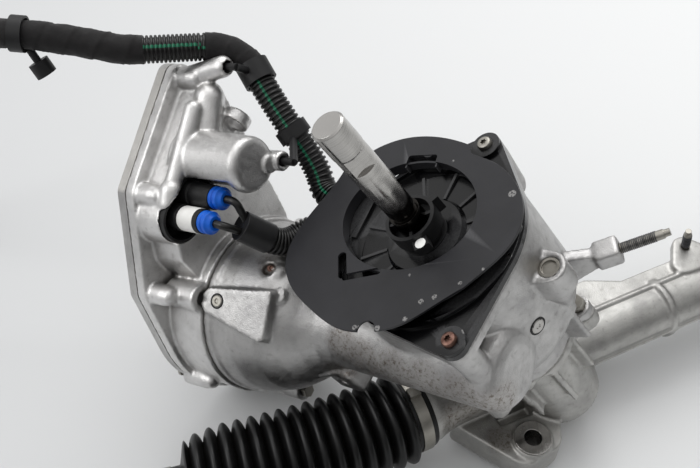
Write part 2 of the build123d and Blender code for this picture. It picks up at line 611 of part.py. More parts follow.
def sensor_cover():
    """Cover over the torque sensor: domed plate with the shaft seal neck and a plug port."""
    body = Pos(0, 0, COVER_H) * extrude(cover_outline(), 4)
    crown = [(COVER_H + 1, 0), (COVER_H + 1, 59), (RIM_H, 59), (RIM_H, 56), (184, 55.5), (184, 46), (186, 44)]
    body += lathe(crown + [(187, 26), (190, 24), (190, 0)], "Z")
    hollow = [(COVER_H - 1, 0), (COVER_H - 1, 42), (183, 41), (184, 22), (186, 22), (186, 14.8)]
    body -= lathe(hollow + [(191, 14.8), (191, 0)], "Z")
    for m, n in COVER_LOBES:
        body += rod("Z", 8.9, COVER_H + 1, 186.5, (m, n))
        body -= rod("Z", 3, COVER_H - 1, 190, (m, n))
    for angle in range(0, 360, 30):
        body += Rot(0, 0, angle) * Pos(35, 0, 187) * Box(18, 1.8, 2)
    port = Pos(-62, 9, 178) * Box(20, 34, 16) - Pos(-69, 9, 178) * Box(14, 29, 11)
    return body + (port - Pos(0, 0, 160) * extrude(cover_outline(-0.3), 20))


def shield_outline():
    sweep_ = Spline((-87, -39), (-92, -22), (-89, -2), (-80, 34))
    top = Spline((-64, 51), (-38, 63), (-14, 64), (4, 61))
    foot = Spline((45, -30), (30, -46), (15, -60), (-1, -67), (-22, -70), (-50, -63), (-75, -51), (-87, -39))
    right = Spline((26, 51), (48, 38), (60, 21), (62, 4), (55, -14), (45, -30))
    edges = [sweep_, Line((-80, 34), (-64, 51)), top, Line((4, 61), (9, 55)), Line((9, 55), (26, 51)), right, foot]
    return make_face(edges)


def dust_shield():
    """Pressed shield over the cover, with an offset opening round the shaft."""
    face = shield_outline()
    opening = Pos(-15, 9) * Ellipse(48.3, 39)
    inner = Pos(-15, 9) * Ellipse(46.9, 37.6)
    step = Pos(-24, 46) * Rot(0, 0, 8) * RectangleRounded(21, 9, 2)
    notch = Pos(-4, -67) * Circle(6)
    slots = Pos(-43, -31.5) * Rot(0, 0, -58) * SlotOverall(19, 6) + Pos(-26, -34.5) * Rot(0, 0, 21) * SlotOverall(27, 4.6)
    body = Pos(0, 0, SHIELD_H) * extrude(face - inner - step - notch - slots, 1.6)
    body += Pos(0, 0, SHIELD_H - 4.7) * extrude(opening - inner, 4.7)
    # the lip is deeper where it stands beyond the dome of the cover
    body += Pos(0, 0, RIM_H + 0.8) * extrude(opening - inner - Circle(47), SHIELD_H - RIM_H - 0.8)
    for m, n in ((54, 14), (-22, 54), (-22, -52)):
        body += rod("Z", 4.5, RIM_H, SHIELD_H + 1, (m, n))
    return body


def gear_case():
    keep("gear_housing", gear_housing(), gear=True)
    keep("sensor_cover", sensor_cover(), gear=True)
    keep("dust_shield", dust_shield(), gear=True)
    screws = [hex_bolt(Pos(m, n, 186.5), 2.6, 4.6, 3, 22) for m, n in COVER_LOBES]
    keep("cover_screws", Compound(children=screws), gear=True)
    screws = [Rot(0, 0, a) * hex_bolt(Pos(SCREW_R, 0, FLANGE_H + 8), 3, 6, 5, 20) for a in NECK_SCREWS]
    screws += [hex_bolt(facing_motor(-132) * Pos(*around(a, EAR_R)), 2.6, 5, 4, 16) for a in FLANGE_SCREWS[1:]]
    screws += [hex_bolt(facing_motor(ECU_BACK) * Rot(180, 0, 0) * Pos(n, -h), 2.5, 4.4, 3, 28) for n, h in ECU_SCREWS]
    keep("case_screws", Compound(children=screws), gear=True)
    seal = lathe([(186, SHAFT_R), (186, 14.8), (191, 14.8), (191, 13), (188, 13), (188, 10.6), (191, SHAFT_R)], "Z")
    keep("input_seal", seal, gear=True)
    cap = rod("Z", 6.5, EAR_TOP - 8, EAR_TOP - 0.8, (EAR_AT, 0)) - rod("Z", 4.6, EAR_TOP - 2, EAR_TOP, (EAR_AT, 0))
    cap = Rot(0, 0, EAR_TURN) * cap
    bleed = rod("Z", 6, 25, 29, (1, 9)) - Pos(1, 9, 27) * extrude(RegularPolygon(3.2, 6), 3)
    keep("blanking_plugs", Compound(children=[GEAR.location * cap, bleed]))
    arm = GEAR.location * Rot(0, 0, 32) * stud((92, 0, 115), (1, 0, 0), 13, 30, 3)
    tube = stud(STUD_FOOT, STUD_LEAN, 8, 19, 3)
    keep("harness_studs", Compound(children=[arm, tube]))


# --- motor, worm and control unit ---------------------------------------------------------
def worm_thread():
    """Two-start thread, twisted along the axis from its cross-section."""
    lead = pi * WORM_MODULE * WORM_STARTS
    tip, root = WORM_PITCH_R + 1.8, WORM_PITCH_R - 2.2
    half_length = 16
    half_thick = pi * WORM_MODULE / 4 - 0.2
    edges = []
    for i in range(WORM_STARTS):
        centre = 360 / WORM_STARTS * i
        sides = []
        for sign in (-1, 1):
            side = []
            for r in (root, WORM_PITCH_R, tip):
                half = (half_thick - (r - WORM_PITCH_R) * tan(radians(20))) / lead * 360
                a = radians(centre + sign * half)
                side.append((r * cos(a), r * sin(a)))
            sides.append(side)
        low, high = sides
        top = radians(centre)
        edges += [Spline(*low), ThreePointArc(low[-1], (tip * cos(top), tip * sin(top)), high[-1]), Spline(*high[::-1])]
        gap = radians(centre + 180 / WORM_STARTS)
        nxt = radians(centre + 360 / WORM_STARTS)
        ang = (half_thick + (WORM_PITCH_R - root) * tan(radians(20))) / lead * 2 * pi
        end = (root * cos(nxt - ang), root * sin(nxt - ang))
        edges.append(ThreePointArc(high[0], (root * cos(gap), root * sin(gap)), end))
    turn = 2 * half_length / lead * 360
    plane = Plane(origin=(-half_length, WORM_N, WORM_H), x_dir=(0, 1, 0), z_dir=(1, 0, 0))
    face = Rot(0, 0, 90 - turn / 2) * make_face(edges)
    return plane.location * Solid.extrude_linear_with_rotation(face.face(), (0, 0, 0), (0, 0, 2 * half_length), turn)


def worm_shaft():
    outline = [(-80, 0), (-80, 6), (-20, 6), (-17, 6.9), (-14, 6.9), (14, 6.9), (17, 6.9), (20, 6), (49, 6), (49, 0)]
    return lathe(outline, "X", WORM_AT) + worm_thread()


def motor_rotor():
    body = rod("X", 25, -144, -110, WORM_AT) + rod("X", 7, -156.5, -86, WORM_AT)
    for i in range(8):
        body -= Pos(0, WORM_N, WORM_H) * Rot(i * 45, 0, 0) * Pos(-127, 0, 24.6) * Box(36, 2, 2)
    return body


def drive_coupling():
    body = rod("X", 13, -90, -66, WORM_AT) - rod("X", 6, -80, -65, WORM_AT) - rod("X", 7, -91, -86, WORM_AT)
    for i in range(6):
        body -= Pos(0, WORM_N, WORM_H) * Rot(i * 60, 0, 0) * Pos(-78, 0, 12) * Box(4, 5, 6)
    return body


def motor_stator():
    body = ring("X", 44, 26, -146, -108, WORM_AT)
    for i in range(12):
        slot_ = Pos(-127, 0, 33) * Box(40, 6, 10) + Pos(-127, 0, 28) * Box(40, 2, 6)
        body -= Pos(0, WORM_N, WORM_H) * Rot(i * 30, 0, 0) * slot_
    return body


def ecu_outline(inset=0):
    circles = [(47, 267, 9), (-32, 246, 9), (-80, 197, 9), (WORM_N, WORM_H, ECU_R)]
    return hull([(n, h, r - inset) for n, h, r in circles]) - Pos(72, 182) * Circle(46 + inset)


def ecu_body_outline(inset=0):
    """The raised front of the control unit, above the motor."""
    circles = [(44, 256, 9), (-30, 237, 10), (-52, 208, 10), (-48, 160, 18), (0, 160, 22), (22, 226, 12)]
    return hull([(n, h, r - inset) for n, h, r in circles])


def ecu_housing():
    flange = facing_motor(ECU_SEAM) * ecu_outline()
    body = extrude(flange, 9)
    body += extrude(facing_motor(ECU_SEAM + 8) * ecu_body_outline(), 26, taper=6)
    body += rod("X", 62, ECU_SEAM + 6, ECU_FRONT, WORM_AT)
    # collar round the connector socket
    collar = facing_motor(ECU_SEAM + 8) * Pos(-28, 228) * SlotCenterToCenter(18, 35.2)
    body += extrude(collar, 23, taper=3)
    # ribs that stand for the capacitor pockets, and the pocket at their foot
    for a, b, radius in (((40, 256), (2, 233), 10), ((26, 262), (-20, 246), 6), ((-26, 244), (-33, 240), 8)):
        start, end = (-161, *a), (-161, *b)
        body += bar(start, end, radius) + Pos(*start) * Sphere(radius) + Pos(*end) * Sphere(radius)
    # dome over the filter coil, with the clip lug at its end
    body += lathe([(-170, 0), (-170, 20), (-152, 18.6), (-112, 18), (-109, 16.5), (-108, 14), (-108, 0)], "X", DOME)
    body += rod("X", 6.5, -128, -103, (18, 223)) + rod("X", 6, -128, -106, (12, 228))
    # arm at the top, and the lifting eye on the right edge
    body += bar((-186, 46, 266), (-150, 57, 267), 7.2) + Pos(-150, 57, 267) * Sphere(7.2)
    body += rod("Y", 9.7, 34, 42, (-151, 236)) + Pos(-165, 38, 236) * Box(16, 8, 14)
    for n, h in ECU_SCREWS:
        body += lathe([(ECU_SEAM, 0), (ECU_SEAM, 8), (-172, 7), (-166, 5.5), (-164, 3), (-164, 0)], "X", (n, h))
    n, h = around(FLANGE_SCREWS[0], 61)
    body += bar((-180, n, h), (-150.2, n, h), 10)
    for angle in FLANGE_SCREWS[1:]:
        n, h = around(angle, EAR_R)
        body += rod("X", 8, -168, ECU_FRONT, (n, h))
    # hollows
    body -= rod("X", 56, -158, ECU_FRONT + 1, WORM_AT) - rod("X", 20, -159, -156, WORM_AT)
    body -= rod("X", 13, -157, -149, WORM_AT)
    body -= extrude(facing_motor(ECU_SEAM - 1) * ecu_outline(6), 6.5)
    body -= extrude(facing_motor(-187) * ecu_body_outline(5), 22)
    body -= rod("X", 48, -187, -163, WORM_AT)
    slot_ = SlotCenterToCenter(18, 31)
    body -= extrude(facing_motor(-180) * Pos(-28, 228) * slot_, 64)
    body -= rod("X", 4, -156, -138, (57, 267)) + rod("X", 3.4, -112, -100, (18, 223))
    body -= rod("Y", 6.3, 31, 46, (-151, 236))
    for n, h in ECU_SCREWS:
        body -= rod("X", 2.5, ECU_SEAM - 1, -170, (n, h))
    for angle in FLANGE_SCREWS[1:]:
        body -= rod("X", 2.6, -164, ECU_FRONT + 1, around(angle, EAR_R))
    n, h = around(FLANGE_SCREWS[0], 61)
    body -= rod("X", 4.5, -153, -149, (n, h))
    return body


def ecu_cover():
    body = extrude(facing_motor(ECU_BACK) * ecu_outline(), ECU_SEAM - ECU_BACK)
    body -= extrude(facing_motor(ECU_BACK + 3) * ecu_outline(6), 6)
    for n in range(-96, 12, 12):
        body += Pos(ECU_BACK - 1.5, n, WORM_H) * Box(3, 2.4, 84)
    for n, h in ECU_SCREWS:
        body -= rod("X", 2.8, ECU_BACK - 1, ECU_SEAM + 1, (n, h))
    return body


def circuit_board():
    board = extrude(facing_motor(-190.8) * ecu_outline(9), 1.6)
    parts = [Pos(-192.6, n, h) * Box(4, w, t) for n, h, w, t in ((-46, 150, 30, 30), (-70, 110, 14, 22), (-20, 200, 20, 16), (-30, 105, 24, 12))]
    holes = join(*[rod("X", 4.5, -195, -186, (n, h)) for n, h in ECU_SCREWS])
    return join(board, *parts) - holes


def plug(n, h):
    body = rod("X", 8, -168, -134, (n, h)) + rod("X", 9, -160, -154, (n, h)) + rod("X", 6.6, -171, -168, (n, h))
    return body - rod("X", 5.6, -140, -133, (n, h))


def plug_seal(n, h):
    outline = [(-140, 2.6), (-140, 5.6), (-134, 5.6), (-134, 7.4), (-131.5, 7.4), (-130.5, 6.4), (-129.5, 7.4)]
    outline += [(-127, 7.4), (-126, 6), (-124, 4.6), (-124, 2.6)]
    return lathe(outline, "X", (n, h))


def control_unit():
    keep("worm_shaft", worm_shaft(), gear=True)
    keep("drive_coupling", drive_coupling(), gear=True)
    keep("motor_rotor", motor_rotor(), gear=True)
    keep("motor_stator", motor_stator(), gear=True)
    rows = [bearing("X", 6, 14, start, start + 10, WORM_AT, 8) for start in (-57, 39)]
    keep("worm_bearings", Compound(children=rows), gear=True)
    rows = [bearing("X", 7, 13, *span, WORM_AT, 8) for span in ((-104, -97), (-157, -151))]
    keep("rotor_bearings", Compound(children=rows), gear=True)
    keep("ecu_housing", ecu_housing(), gear=True)
    keep("ecu_cover", ecu_cover(), gear=True)
    keep("circuit_board", circuit_board(), gear=True)
    cans = [bar((-174, *a), (-174, *b), 6) for a, b in (((38, 251), (22, 242)), ((16, 238), (-2, 228)), ((20, 222), (2, 212)))]
    keep("capacitors", Compound(children=cans), gear=True)
    socket = extrude(facing_motor(-180) * Pos(-28, 228) * SlotCenterToCenter(18, 30.6), 23)
    socket -= extrude(facing_motor(-172) * Pos(-28, 228) * SlotCenterToCenter(18, 27), 24)
    for n, h in ECU_PLUGS:
        socket -= rod("X", 6.6, -172.5, -170, (n, h))
    keep("connector_socket", socket, gear=True)
    keep("ecu_plugs", Compound(children=[plug(*at) for at in ECU_PLUGS]), gear=True)
    keep("plug_seals", Compound(children=[plug_seal(*at) for at in ECU_PLUGS]), gear=True)
    board = ring("Z", 47, 21, 174, 176) + ring("Z", 25, 21, 162, 175)
    for angle in (40, 160, 280):
        board += Rot(0, 0, angle) * rod("Z", 3, 175, COVER_H, (38, 0))
    keep("torque_sensor_board", board, gear=True)


# --- harness --------------------------------------------------------------------------------
def in_gear(m, n, h):
    """A gear-frame point, in working coordinates."""
    return GEAR.from_local_coords(Vector(m, n, h))


SLEEVE_START, SLEEVE_END = (-116.5, -28.5, 217), (-110, -24.6, 196)
LOOM_START = Vector(-193, 218, 191)
PORT_M = -86.0
CLIP_UPPER = (-153, 79, 262)
CONDUIT_BACK = in_gear(*CLIP_UPPER) + (LOOM_START - in_gear(*CLIP_UPPER)) * 0.43
HELD_CONDUIT = [CONDUIT_BACK] + [
    in_gear(*p) for p in (CLIP_UPPER, (-127, 53, 232), (-105, 34, 193), (-101, 20, 180.5), (PORT_M, 18.5, 178))]
BRANCH_CONDUIT = [in_gear(*p) for p in (SLEEVE_END, (-106.6, -22.56, 185), (-100, -3, 178), (PORT_M, -1, 178))]
LEADS = [
    [in_gear(-124, n, h), in_gear(-116, n, h - 1), in_gear(-114, -28.5 + (n + 28) * 0.3, 212)]
    for n, h in ECU_PLUGS
]
FREE_CONDUIT = [CONDUIT_BACK, LOOM_START]
LOOM = [LOOM_START, LOOM_START + (LOOM_START - CONDUIT_BACK).normalized() * 12] + [Vector(*p) for p in (
    (-231, 239, 196.5), (-272, 260, 203), (-323, 294, 192), (-368, 320, 134),
    (-392, 337, 62), (-402, 352, 0), (-408, 384, LOOM_Z), (-408, 442, LOOM_Z))]


def bend_radii(points):
    """Arc radius at each corner: as wide as the shorter run beside it allows."""
    radii = []
    for before, corner, after in zip(points, points[1:], points[2:]):
        run = min((corner - before).length, (after - corner).length)
        turn = radians((corner - before).get_angle(after - corner))
        radii.append(0.45 * run / tan(turn / 2))
    return radii


def cord(name, points, radius):
    radii = bend_radii(points)
    line = FilletPolyline(*points, radius=radii) if radii else Line(*points)
    body = sweep(Plane(origin=line @ 0, z_dir=line % 0) * Circle(radius), path=line)
    expected = pi * radius ** 2 * line.length
    print(name, "length", round(line.length), "radii", [round(r) for r in radii], "volume", round(body.volume / expected, 3))
    return body, line


def band_clip(at, along, radius, foot, width=9):
    """Clip: a strap round the cable with an arm and a foot in its lug."""
    plane = Plane(origin=at, z_dir=along)
    strap = plane * (Cylinder(radius + 1.6, width) - Cylinder(radius, width + 2))
    arm = bar(at, foot, 2.6) - plane * Cylinder(radius, 40)
    return strap + arm


def harness():
    body, line = cord("held_conduit", HELD_CONDUIT, CONDUIT_R)
    keep("held_conduit", body)
    keep("branch_conduit", cord("branch_conduit", BRANCH_CONDUIT, CONDUIT_R)[0])
    keep("plug_leads", Compound(children=[cord("plug_lead", points, 2.6)[0] for points in LEADS]))
    start, end = in_gear(*SLEEVE_START), in_gear(*SLEEVE_END)
    sleeve = bar(start, end, 10) - join(*[bar(points[1], points[2], 2.6) for points in LEADS])
    keep("lead_sleeve", sleeve)
    body = Pos(PORT_M + 12, 9, 178) * fillet(Box(20, 28.4, 10.4).edges().filter_by(Axis.X), 2)
    body += Pos(PORT_M + 6, 9, 178) * Box(8, 38, 16)
    keep("sensor_plug", body, gear=True)
    down = (HELD_CONDUIT[2] - HELD_CONDUIT[1]).normalized()
    upper = band_clip(HELD_CONDUIT[1] + down * 22, down, CONDUIT_R + 0.3, in_gear(-137, 57, 267), 14)
    upper += bar(in_gear(-136, 57, 267), in_gear(-152, 57, 267), 2.4)
    at = line.position_at(0.6)
    lower = band_clip(at, line.tangent_at(0.6), CONDUIT_R + 0.3, in_gear(-94, 18, 223))
    lower += bar(in_gear(-93.6, 18, 223), in_gear(-110, 18, 223), 2.4)
    keep("free_conduit", cord("free_conduit", FREE_CONDUIT, CONDUIT_R)[0])
    body, line = cord("loom", LOOM, LOOM_R)
    keep("loom", body)
    at = line.position_at(0.17)
    far = band_clip(at, line.tangent_at(0.17), LOOM_R + 0.3, at + Vector(6.2, -11.3, -17.5))
    far += bar(at + Vector(5.9, -10.8, -16.8), at + Vector(8.8, -16, -24.8), 7)
    keep("harness_clips", Compound(children=[upper, lower, far]))
    end, out = LOOM[-1], (LOOM[-1] - LOOM[-2]).normalized()
    shell = Plane(origin=end, x_dir=(0, 0, 1), z_dir=out)
    body = shell * (Pos(0, 0, 18) * fillet(Box(19.4, 34, 36).edges().filter_by(Axis.Z), 3))
    body -= shell * (Pos(0, 0, 30) * Box(14, 28, 20))
    keep("loom_connector", body)


# --- build ----------------------------------------------------------------------------------
def export():
    os.makedirs("parts", exist_ok=True)
    for name, shape in NODES.items():
        export_step(Pos(*(ORIGIN * -1)) * shape, f"parts/{name}.step")


rack_side()
rack_case()
steering_input()
gear_case()
control_unit()
harness()
export()
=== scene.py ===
"""Looks of the electric steering rack, in metres, in the frame of its CAD part."""
import json
import math

import bmesh
import bpy
from mathutils import Matrix, Vector, noise

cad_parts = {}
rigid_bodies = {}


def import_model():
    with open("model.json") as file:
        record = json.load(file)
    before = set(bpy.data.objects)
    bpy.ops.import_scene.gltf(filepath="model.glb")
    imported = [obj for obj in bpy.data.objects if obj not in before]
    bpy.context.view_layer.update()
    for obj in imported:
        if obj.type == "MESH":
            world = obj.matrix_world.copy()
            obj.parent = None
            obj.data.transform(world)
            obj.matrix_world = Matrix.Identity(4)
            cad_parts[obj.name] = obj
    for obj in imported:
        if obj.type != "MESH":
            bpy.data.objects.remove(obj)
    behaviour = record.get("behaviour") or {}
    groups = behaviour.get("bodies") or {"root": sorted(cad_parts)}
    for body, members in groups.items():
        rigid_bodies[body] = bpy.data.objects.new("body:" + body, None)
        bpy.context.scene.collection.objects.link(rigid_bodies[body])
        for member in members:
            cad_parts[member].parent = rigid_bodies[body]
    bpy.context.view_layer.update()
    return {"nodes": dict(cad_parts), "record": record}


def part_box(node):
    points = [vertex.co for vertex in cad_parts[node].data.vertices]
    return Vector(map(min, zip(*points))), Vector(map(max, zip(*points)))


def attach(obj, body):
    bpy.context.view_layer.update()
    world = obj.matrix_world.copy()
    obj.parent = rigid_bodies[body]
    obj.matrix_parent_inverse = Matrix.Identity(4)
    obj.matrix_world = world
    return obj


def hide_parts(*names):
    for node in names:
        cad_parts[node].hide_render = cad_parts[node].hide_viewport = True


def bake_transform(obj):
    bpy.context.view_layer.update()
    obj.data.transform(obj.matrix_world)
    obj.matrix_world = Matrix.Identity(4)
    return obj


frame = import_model()
record = frame["record"]
BODY_OF = {n: body for body, nodes in record["behaviour"]["bodies"].items() for n in nodes}
SLOT_OF = {part["node"]: part["material_slot"] for part in record["subparts"]}
MM = 0.001
UP = Vector((0, 0, 1))

# --- the gear frame: m along the motor, n across it, h along the pinion ----------------------
LEAN, ROLL, TURN = (math.radians(angle) for angle in (28.92, 12.82, -60.38))
PIN = Vector((-math.sin(LEAN), math.cos(LEAN) * math.sin(ROLL), math.cos(LEAN) * math.cos(ROLL)))
SIDE = (Vector((1, 0, 0)) - PIN * PIN.x).normalized()
MOTOR = SIDE * math.cos(TURN) + PIN.cross(SIDE) * math.sin(TURN)
ACROSS = PIN.cross(MOTOR)
HEEL = SIDE.cross(PIN) * 17
FLOOR = (HEEL + MOTOR * -200 + ACROSS * -46 + PIN * 131).z - 66 * math.sqrt(1 - MOTOR.z ** 2)
SHIFT = Vector((32, 48, -FLOOR))
GEAR = Matrix.Translation((HEEL + SHIFT) * MM) @ Matrix((MOTOR, ACROSS, PIN)).transposed().to_4x4()


def at(x, y, z):
    """A point of the rack's own layout, millimetres from the rack axis at the pinion."""
    return (Vector((x, y, z)) + SHIFT) * MM


def gear(m, n, h):
    """A point of the gear frame, given in millimetres."""
    return GEAR @ (Vector((m, n, h)) * MM)


# --- materials ---------------------------------------------------------------------------------
def linear(code):
    """sRGB hex to linear RGBA."""
    parts = [int(code[i:i + 2], 16) / 255 for i in (1, 3, 5)]
    return (*[c / 12.92 if c <= 0.04045 else ((c + 0.055) / 1.055) ** 2.4 for c in parts], 1)


def add(tree, kind, sockets=(), **settings):
    """Adds a node. Socket values are constants, or other nodes' outputs to link."""
    made = tree.nodes.new(kind)
    for name, value in settings.items():
        setattr(made, name, value)
    for name, value in dict(sockets).items():
        if isinstance(value, bpy.types.NodeSocket):
            tree.links.new(value, made.inputs[name])
        else:
            made.inputs[name].default_value = value
    return made


def begin(name):
    """A new material with its tree emptied, and the coordinates its patterns read."""
    made = bpy.data.materials.new(name)
    made.use_nodes = True
    made.node_tree.nodes.clear()
    return made, made.node_tree, add(made.node_tree, "ShaderNodeTexCoord").outputs["Object"]


def close(tree, shader):
    add(tree, "ShaderNodeOutputMaterial", {"Surface": shader.outputs[0]})


def coat(tree, base, gloss, normal, others):
    """Ends a material with one principled surface."""
    close(tree, add(tree, "ShaderNodeBsdfPrincipled", {
        "Base Color": base, "Roughness": gloss, "Normal": normal, **others}))


def in_gear_frame(tree, place):
    """Coordinates turned and moved into the gear frame, in metres."""
    return add(tree, "ShaderNodeMapping", {"Vector": place, "Location": GEAR.translation,
                                           "Rotation": GEAR.to_euler()}, vector_type="TEXTURE").outputs[0]


def ramp(tree, value, stops, interpolation="LINEAR"):
    """Colour ramp from (position, hex colour) stops."""
    made = add(tree, "ShaderNodeValToRGB", {"Fac": value})
    line = made.color_ramp
    line.interpolation = interpolation
    while len(line.elements) < len(stops):
        line.elements.new(0.5)
    for element, (position, code) in zip(line.elements, stops):
        element.position = position
        element.color = linear(code)
    return made.outputs[0]


def texture(tree, place, scale, detail, rough=0.5):
    """Soft noise from 0 to 1 with about this many cells to the metre."""
    return add(tree, "ShaderNodeTexNoise", {"Vector": place, "Scale": scale, "Detail": detail,
                                            "Roughness": rough}).outputs[0]


def span(tree, value, low, high, start=0.0, end=1.0):
    """Start where the value is at low or under, end at high or over, and a straight slope between."""
    return add(tree, "ShaderNodeMapRange", {"Value": value, "From Min": low, "From Max": high,
                                            "To Min": start, "To Max": end}).outputs[0]


def calc(tree, operation, *values):
    return add(tree, "ShaderNodeMath", enumerate(values), operation=operation).outputs[0]


def toned(tree, base, amount, code):
    """The base colour turned toward a hex colour by an amount."""
    return add(tree, "ShaderNodeMix", {0: amount, 6: base, 7: linear(code)}, data_type="RGBA").outputs[2]


def bump(tree, height, strength, distance, under=None, **settings):
    """A normal raised by the height, over another bump's normal where one is given."""
    sockets = {"Height": height, "Strength": strength, "Distance": distance}
    if under is not None:
        sockets["Normal"] = under
    return add(tree, "ShaderNodeBump", sockets, **settings).outputs[0]


def crests(tree):
    """High on convex edges, where handling wears a surface; on the castings it also carries a painted
    highlight.
    """
    return add(tree, "ShaderNodeNewGeometry").outputs["Pointiness"]


def corners(tree, reach, samples):
    """Low in corners within this reach, in metres."""
    return add(tree, "ShaderNodeAmbientOcclusion", {"Distance": reach}, samples=samples).outputs["AO"]


def spots(tree, place, marks):
    """1 in small balls round the marks (centre in metres, radius in millimetres), 0 outside, soft rims."""
    total = None
    for centre, radius in marks:
        away = add(tree, "ShaderNodeVectorMath", {0: place, 1: centre}, operation="DISTANCE").outputs["Value"]
        mask = span(tree, away, radius * 0.6 * MM, radius * MM, 1.0, 0.0)
        total = mask if total is None else calc(tree, "MAXIMUM", total, mask)
    return total


def cast_aluminium(name, tones, rough, grain_mm, grime_and_shade, stain_marks=()):
    """Die-cast aluminium, shot-blasted: a soft grey sheen over fine pits, darker where grime stays and where
    shade is painted into the corners.
    """
    made, tree, place = begin(name)
    cloud = texture(tree, place, 34.0, 5.0, 0.6)
    base = ramp(tree, cloud, [(0.3, tones[0]), (0.52, tones[1]), (0.72, tones[2])])
    # 2 to 4 mm blotches of handling marks
    blotch = texture(tree, place, 260.0, 3.0)
    base = toned(tree, base, span(tree, blotch, 0.6, 0.74, 0.0, 0.22), grime_and_shade)
    # grime and painted shade in corners, from ambient occlusion, thinner where the cloud is dark
    dirt_and_shade = span(tree, corners(tree, 0.009, 6), 0.25, 0.8, 0.75, 0.0)
    patches = span(tree, cloud, 0.35, 0.6, 0.4, 1.0)
    base = toned(tree, base, calc(tree, "MULTIPLY", dirt_and_shade, patches), grime_and_shade)
    if stain_marks:
        speck = texture(tree, place, 420.0, 6.0, 0.75)
        near = spots(tree, place, stain_marks)
        speckle = span(tree, speck, 0.5, 0.66, 0.28, 0.92)
        base = toned(tree, base, calc(tree, "MULTIPLY", near, speckle), STAIN_BROWN)
    # painted highlight on convex crests, partly also handling wear
    base = toned(tree, base, span(tree, crests(tree), 0.53, 0.62, 0.0, 0.5), "#D9D6D0")
    grain = texture(tree, place, 1 / (grain_mm * MM), 3.0)
    normal = bump(tree, texture(tree, place, 180.0, 2.0), 0.25, 0.0006)
    normal = bump(tree, grain, 0.75, 0.0003, normal)
    gloss = span(tree, blotch, 0.3, 0.7, rough - 0.07, rough + 0.08)
    coat(tree, base, gloss, normal, {"Metallic": 1.0})
    return made


def turned_steel(name, tones, rough, ring_mm=0.5, painted_shade_below=None):
    """Turned and ground steel: mirror-like, with fine rings round its axis left by the tool."""
    made, tree, place = begin(name)
    local = in_gear_frame(tree, place)
    stretch = (18.0, 18.0, 1 / (ring_mm * MM))
    stretched = add(tree, "ShaderNodeMapping", {"Vector": local, "Scale": stretch}).outputs[0]
    rings = texture(tree, stretched, 1.0, 2.0)
    base = ramp(tree, rings, [(0.3, tones[0]), (0.7, tones[1])])
    if painted_shade_below:
        limit_mm, code = painted_shade_below
        # painted shade: darker below the given height, with a ragged edge
        height = add(tree, "ShaderNodeSeparateXYZ", {0: local}).outputs[2]
        edge_noise = texture(tree, place, 120.0, 4.0)
        ragged = calc(tree, "MULTIPLY_ADD", edge_noise, 0.02, height)
        shade = span(tree, ragged, (limit_mm + 8) * MM, (limit_mm + 16) * MM, 1.0, 0.0)
        # the painted shade only inside the sensor neck: the same steel lower down gets none
        neck = span(tree, height, 0.14, 0.16)
        base = toned(tree, base, calc(tree, "MULTIPLY", shade, neck), code)
    wipe = texture(tree, place, 160.0, 3.0)
    gloss = span(tree, wipe, 0.35, 0.7, rough, rough + 0.16)
    coat(tree, base, gloss, bump(tree, rings, 0.12, 0.0001), {"Metallic": 1.0})
    return made


def plain_finish(name, tones, rough, metallic=0.0, grain_mm=0.4, relief=0.00012, dust_and_shade=None, scale=90.0):
    """One finish with cloudy tone, fine grain and patchy gloss. Its name says which real finish it is."""
    made, tree, place = begin(name)
    cloud = texture(tree, place, scale, 5.0)
    base = ramp(tree, cloud, [(0.32, tones[0]), (0.68, tones[1])])
    # dust and painted shade in corners, from ambient occlusion
    if dust_and_shade:
        base = toned(tree, base, span(tree, corners(tree, 0.004, 4), 0.3, 0.85, 0.55, 0.0), dust_and_shade)
    grain = texture(tree, place, 1 / (grain_mm * MM), 2.0)
    gloss = span(tree, cloud, 0.3, 0.7, rough - 0.06, rough + 0.08)
    coat(tree, base, gloss, bump(tree, grain, 0.5, relief), {
        "Metallic": metallic, "Specular IOR Level": 0.5 if metallic else 0.32})
    return made


def chipped_coating(name, tones, rough, chips, dull):
    """Black coat on metal: satin, slightly orange-peeled, knocked through to bright metal at the chips."""
    made, tree, place = begin(name)
    cloud = texture(tree, place, 60.0, 6.0)
    base = ramp(tree, cloud, [(0.3, tones[0]), (0.7, tones[1])])
    ragged = texture(tree, place, 900.0, 5.0, 0.7)
    torn = calc(tree, "MULTIPLY", spots(tree, place, chips), ragged)
    bare = span(tree, torn, 0.44, 0.5)
    base = toned(tree, base, bare, "#8C8B8A")
    # rubbed rims
    edge = span(tree, crests(tree), 0.56, 0.68, 0.0, dull)
    base = toned(tree, base, calc(tree, "MULTIPLY", edge, ragged), "#7C7C7E")
    normal = bump(tree, texture(tree, place, 1500.0, 2.0), 0.35, 0.00012)
    normal = bump(tree, bare, 0.5, 0.0001, normal, invert=True)
    coat(tree, base, rough, normal, {"Metallic": bare, "Specular IOR Level": 0.35})
    return made


def striped_conduit(name):
    """Extruded polyamide conduit: dull black with one printed green line, worn off in places."""
    made, tree, place = begin(name)
    around = add(tree, "ShaderNodeAttribute", attribute_name="around").outputs["Fac"]
    line = span(tree, calc(tree, "SUBTRACT", 1.0, around), 0.007, 0.011, 1.0, 0.0)
    worn = texture(tree, place, 500.0, 3.0)
    printed = calc(tree, "MULTIPLY", line, span(tree, worn, 0.3, 0.45))
    base = ramp(tree, worn, [(0.3, "#0B0B0B"), (0.75, "#151413")])
    base = toned(tree, base, printed, "#0E6B4C")
    grain = texture(tree, place, 1400.0, 2.0)
    coat(tree, base, 0.34, bump(tree, grain, 0.3, 0.0001), {"Specular IOR Level": 0.4})
    return made


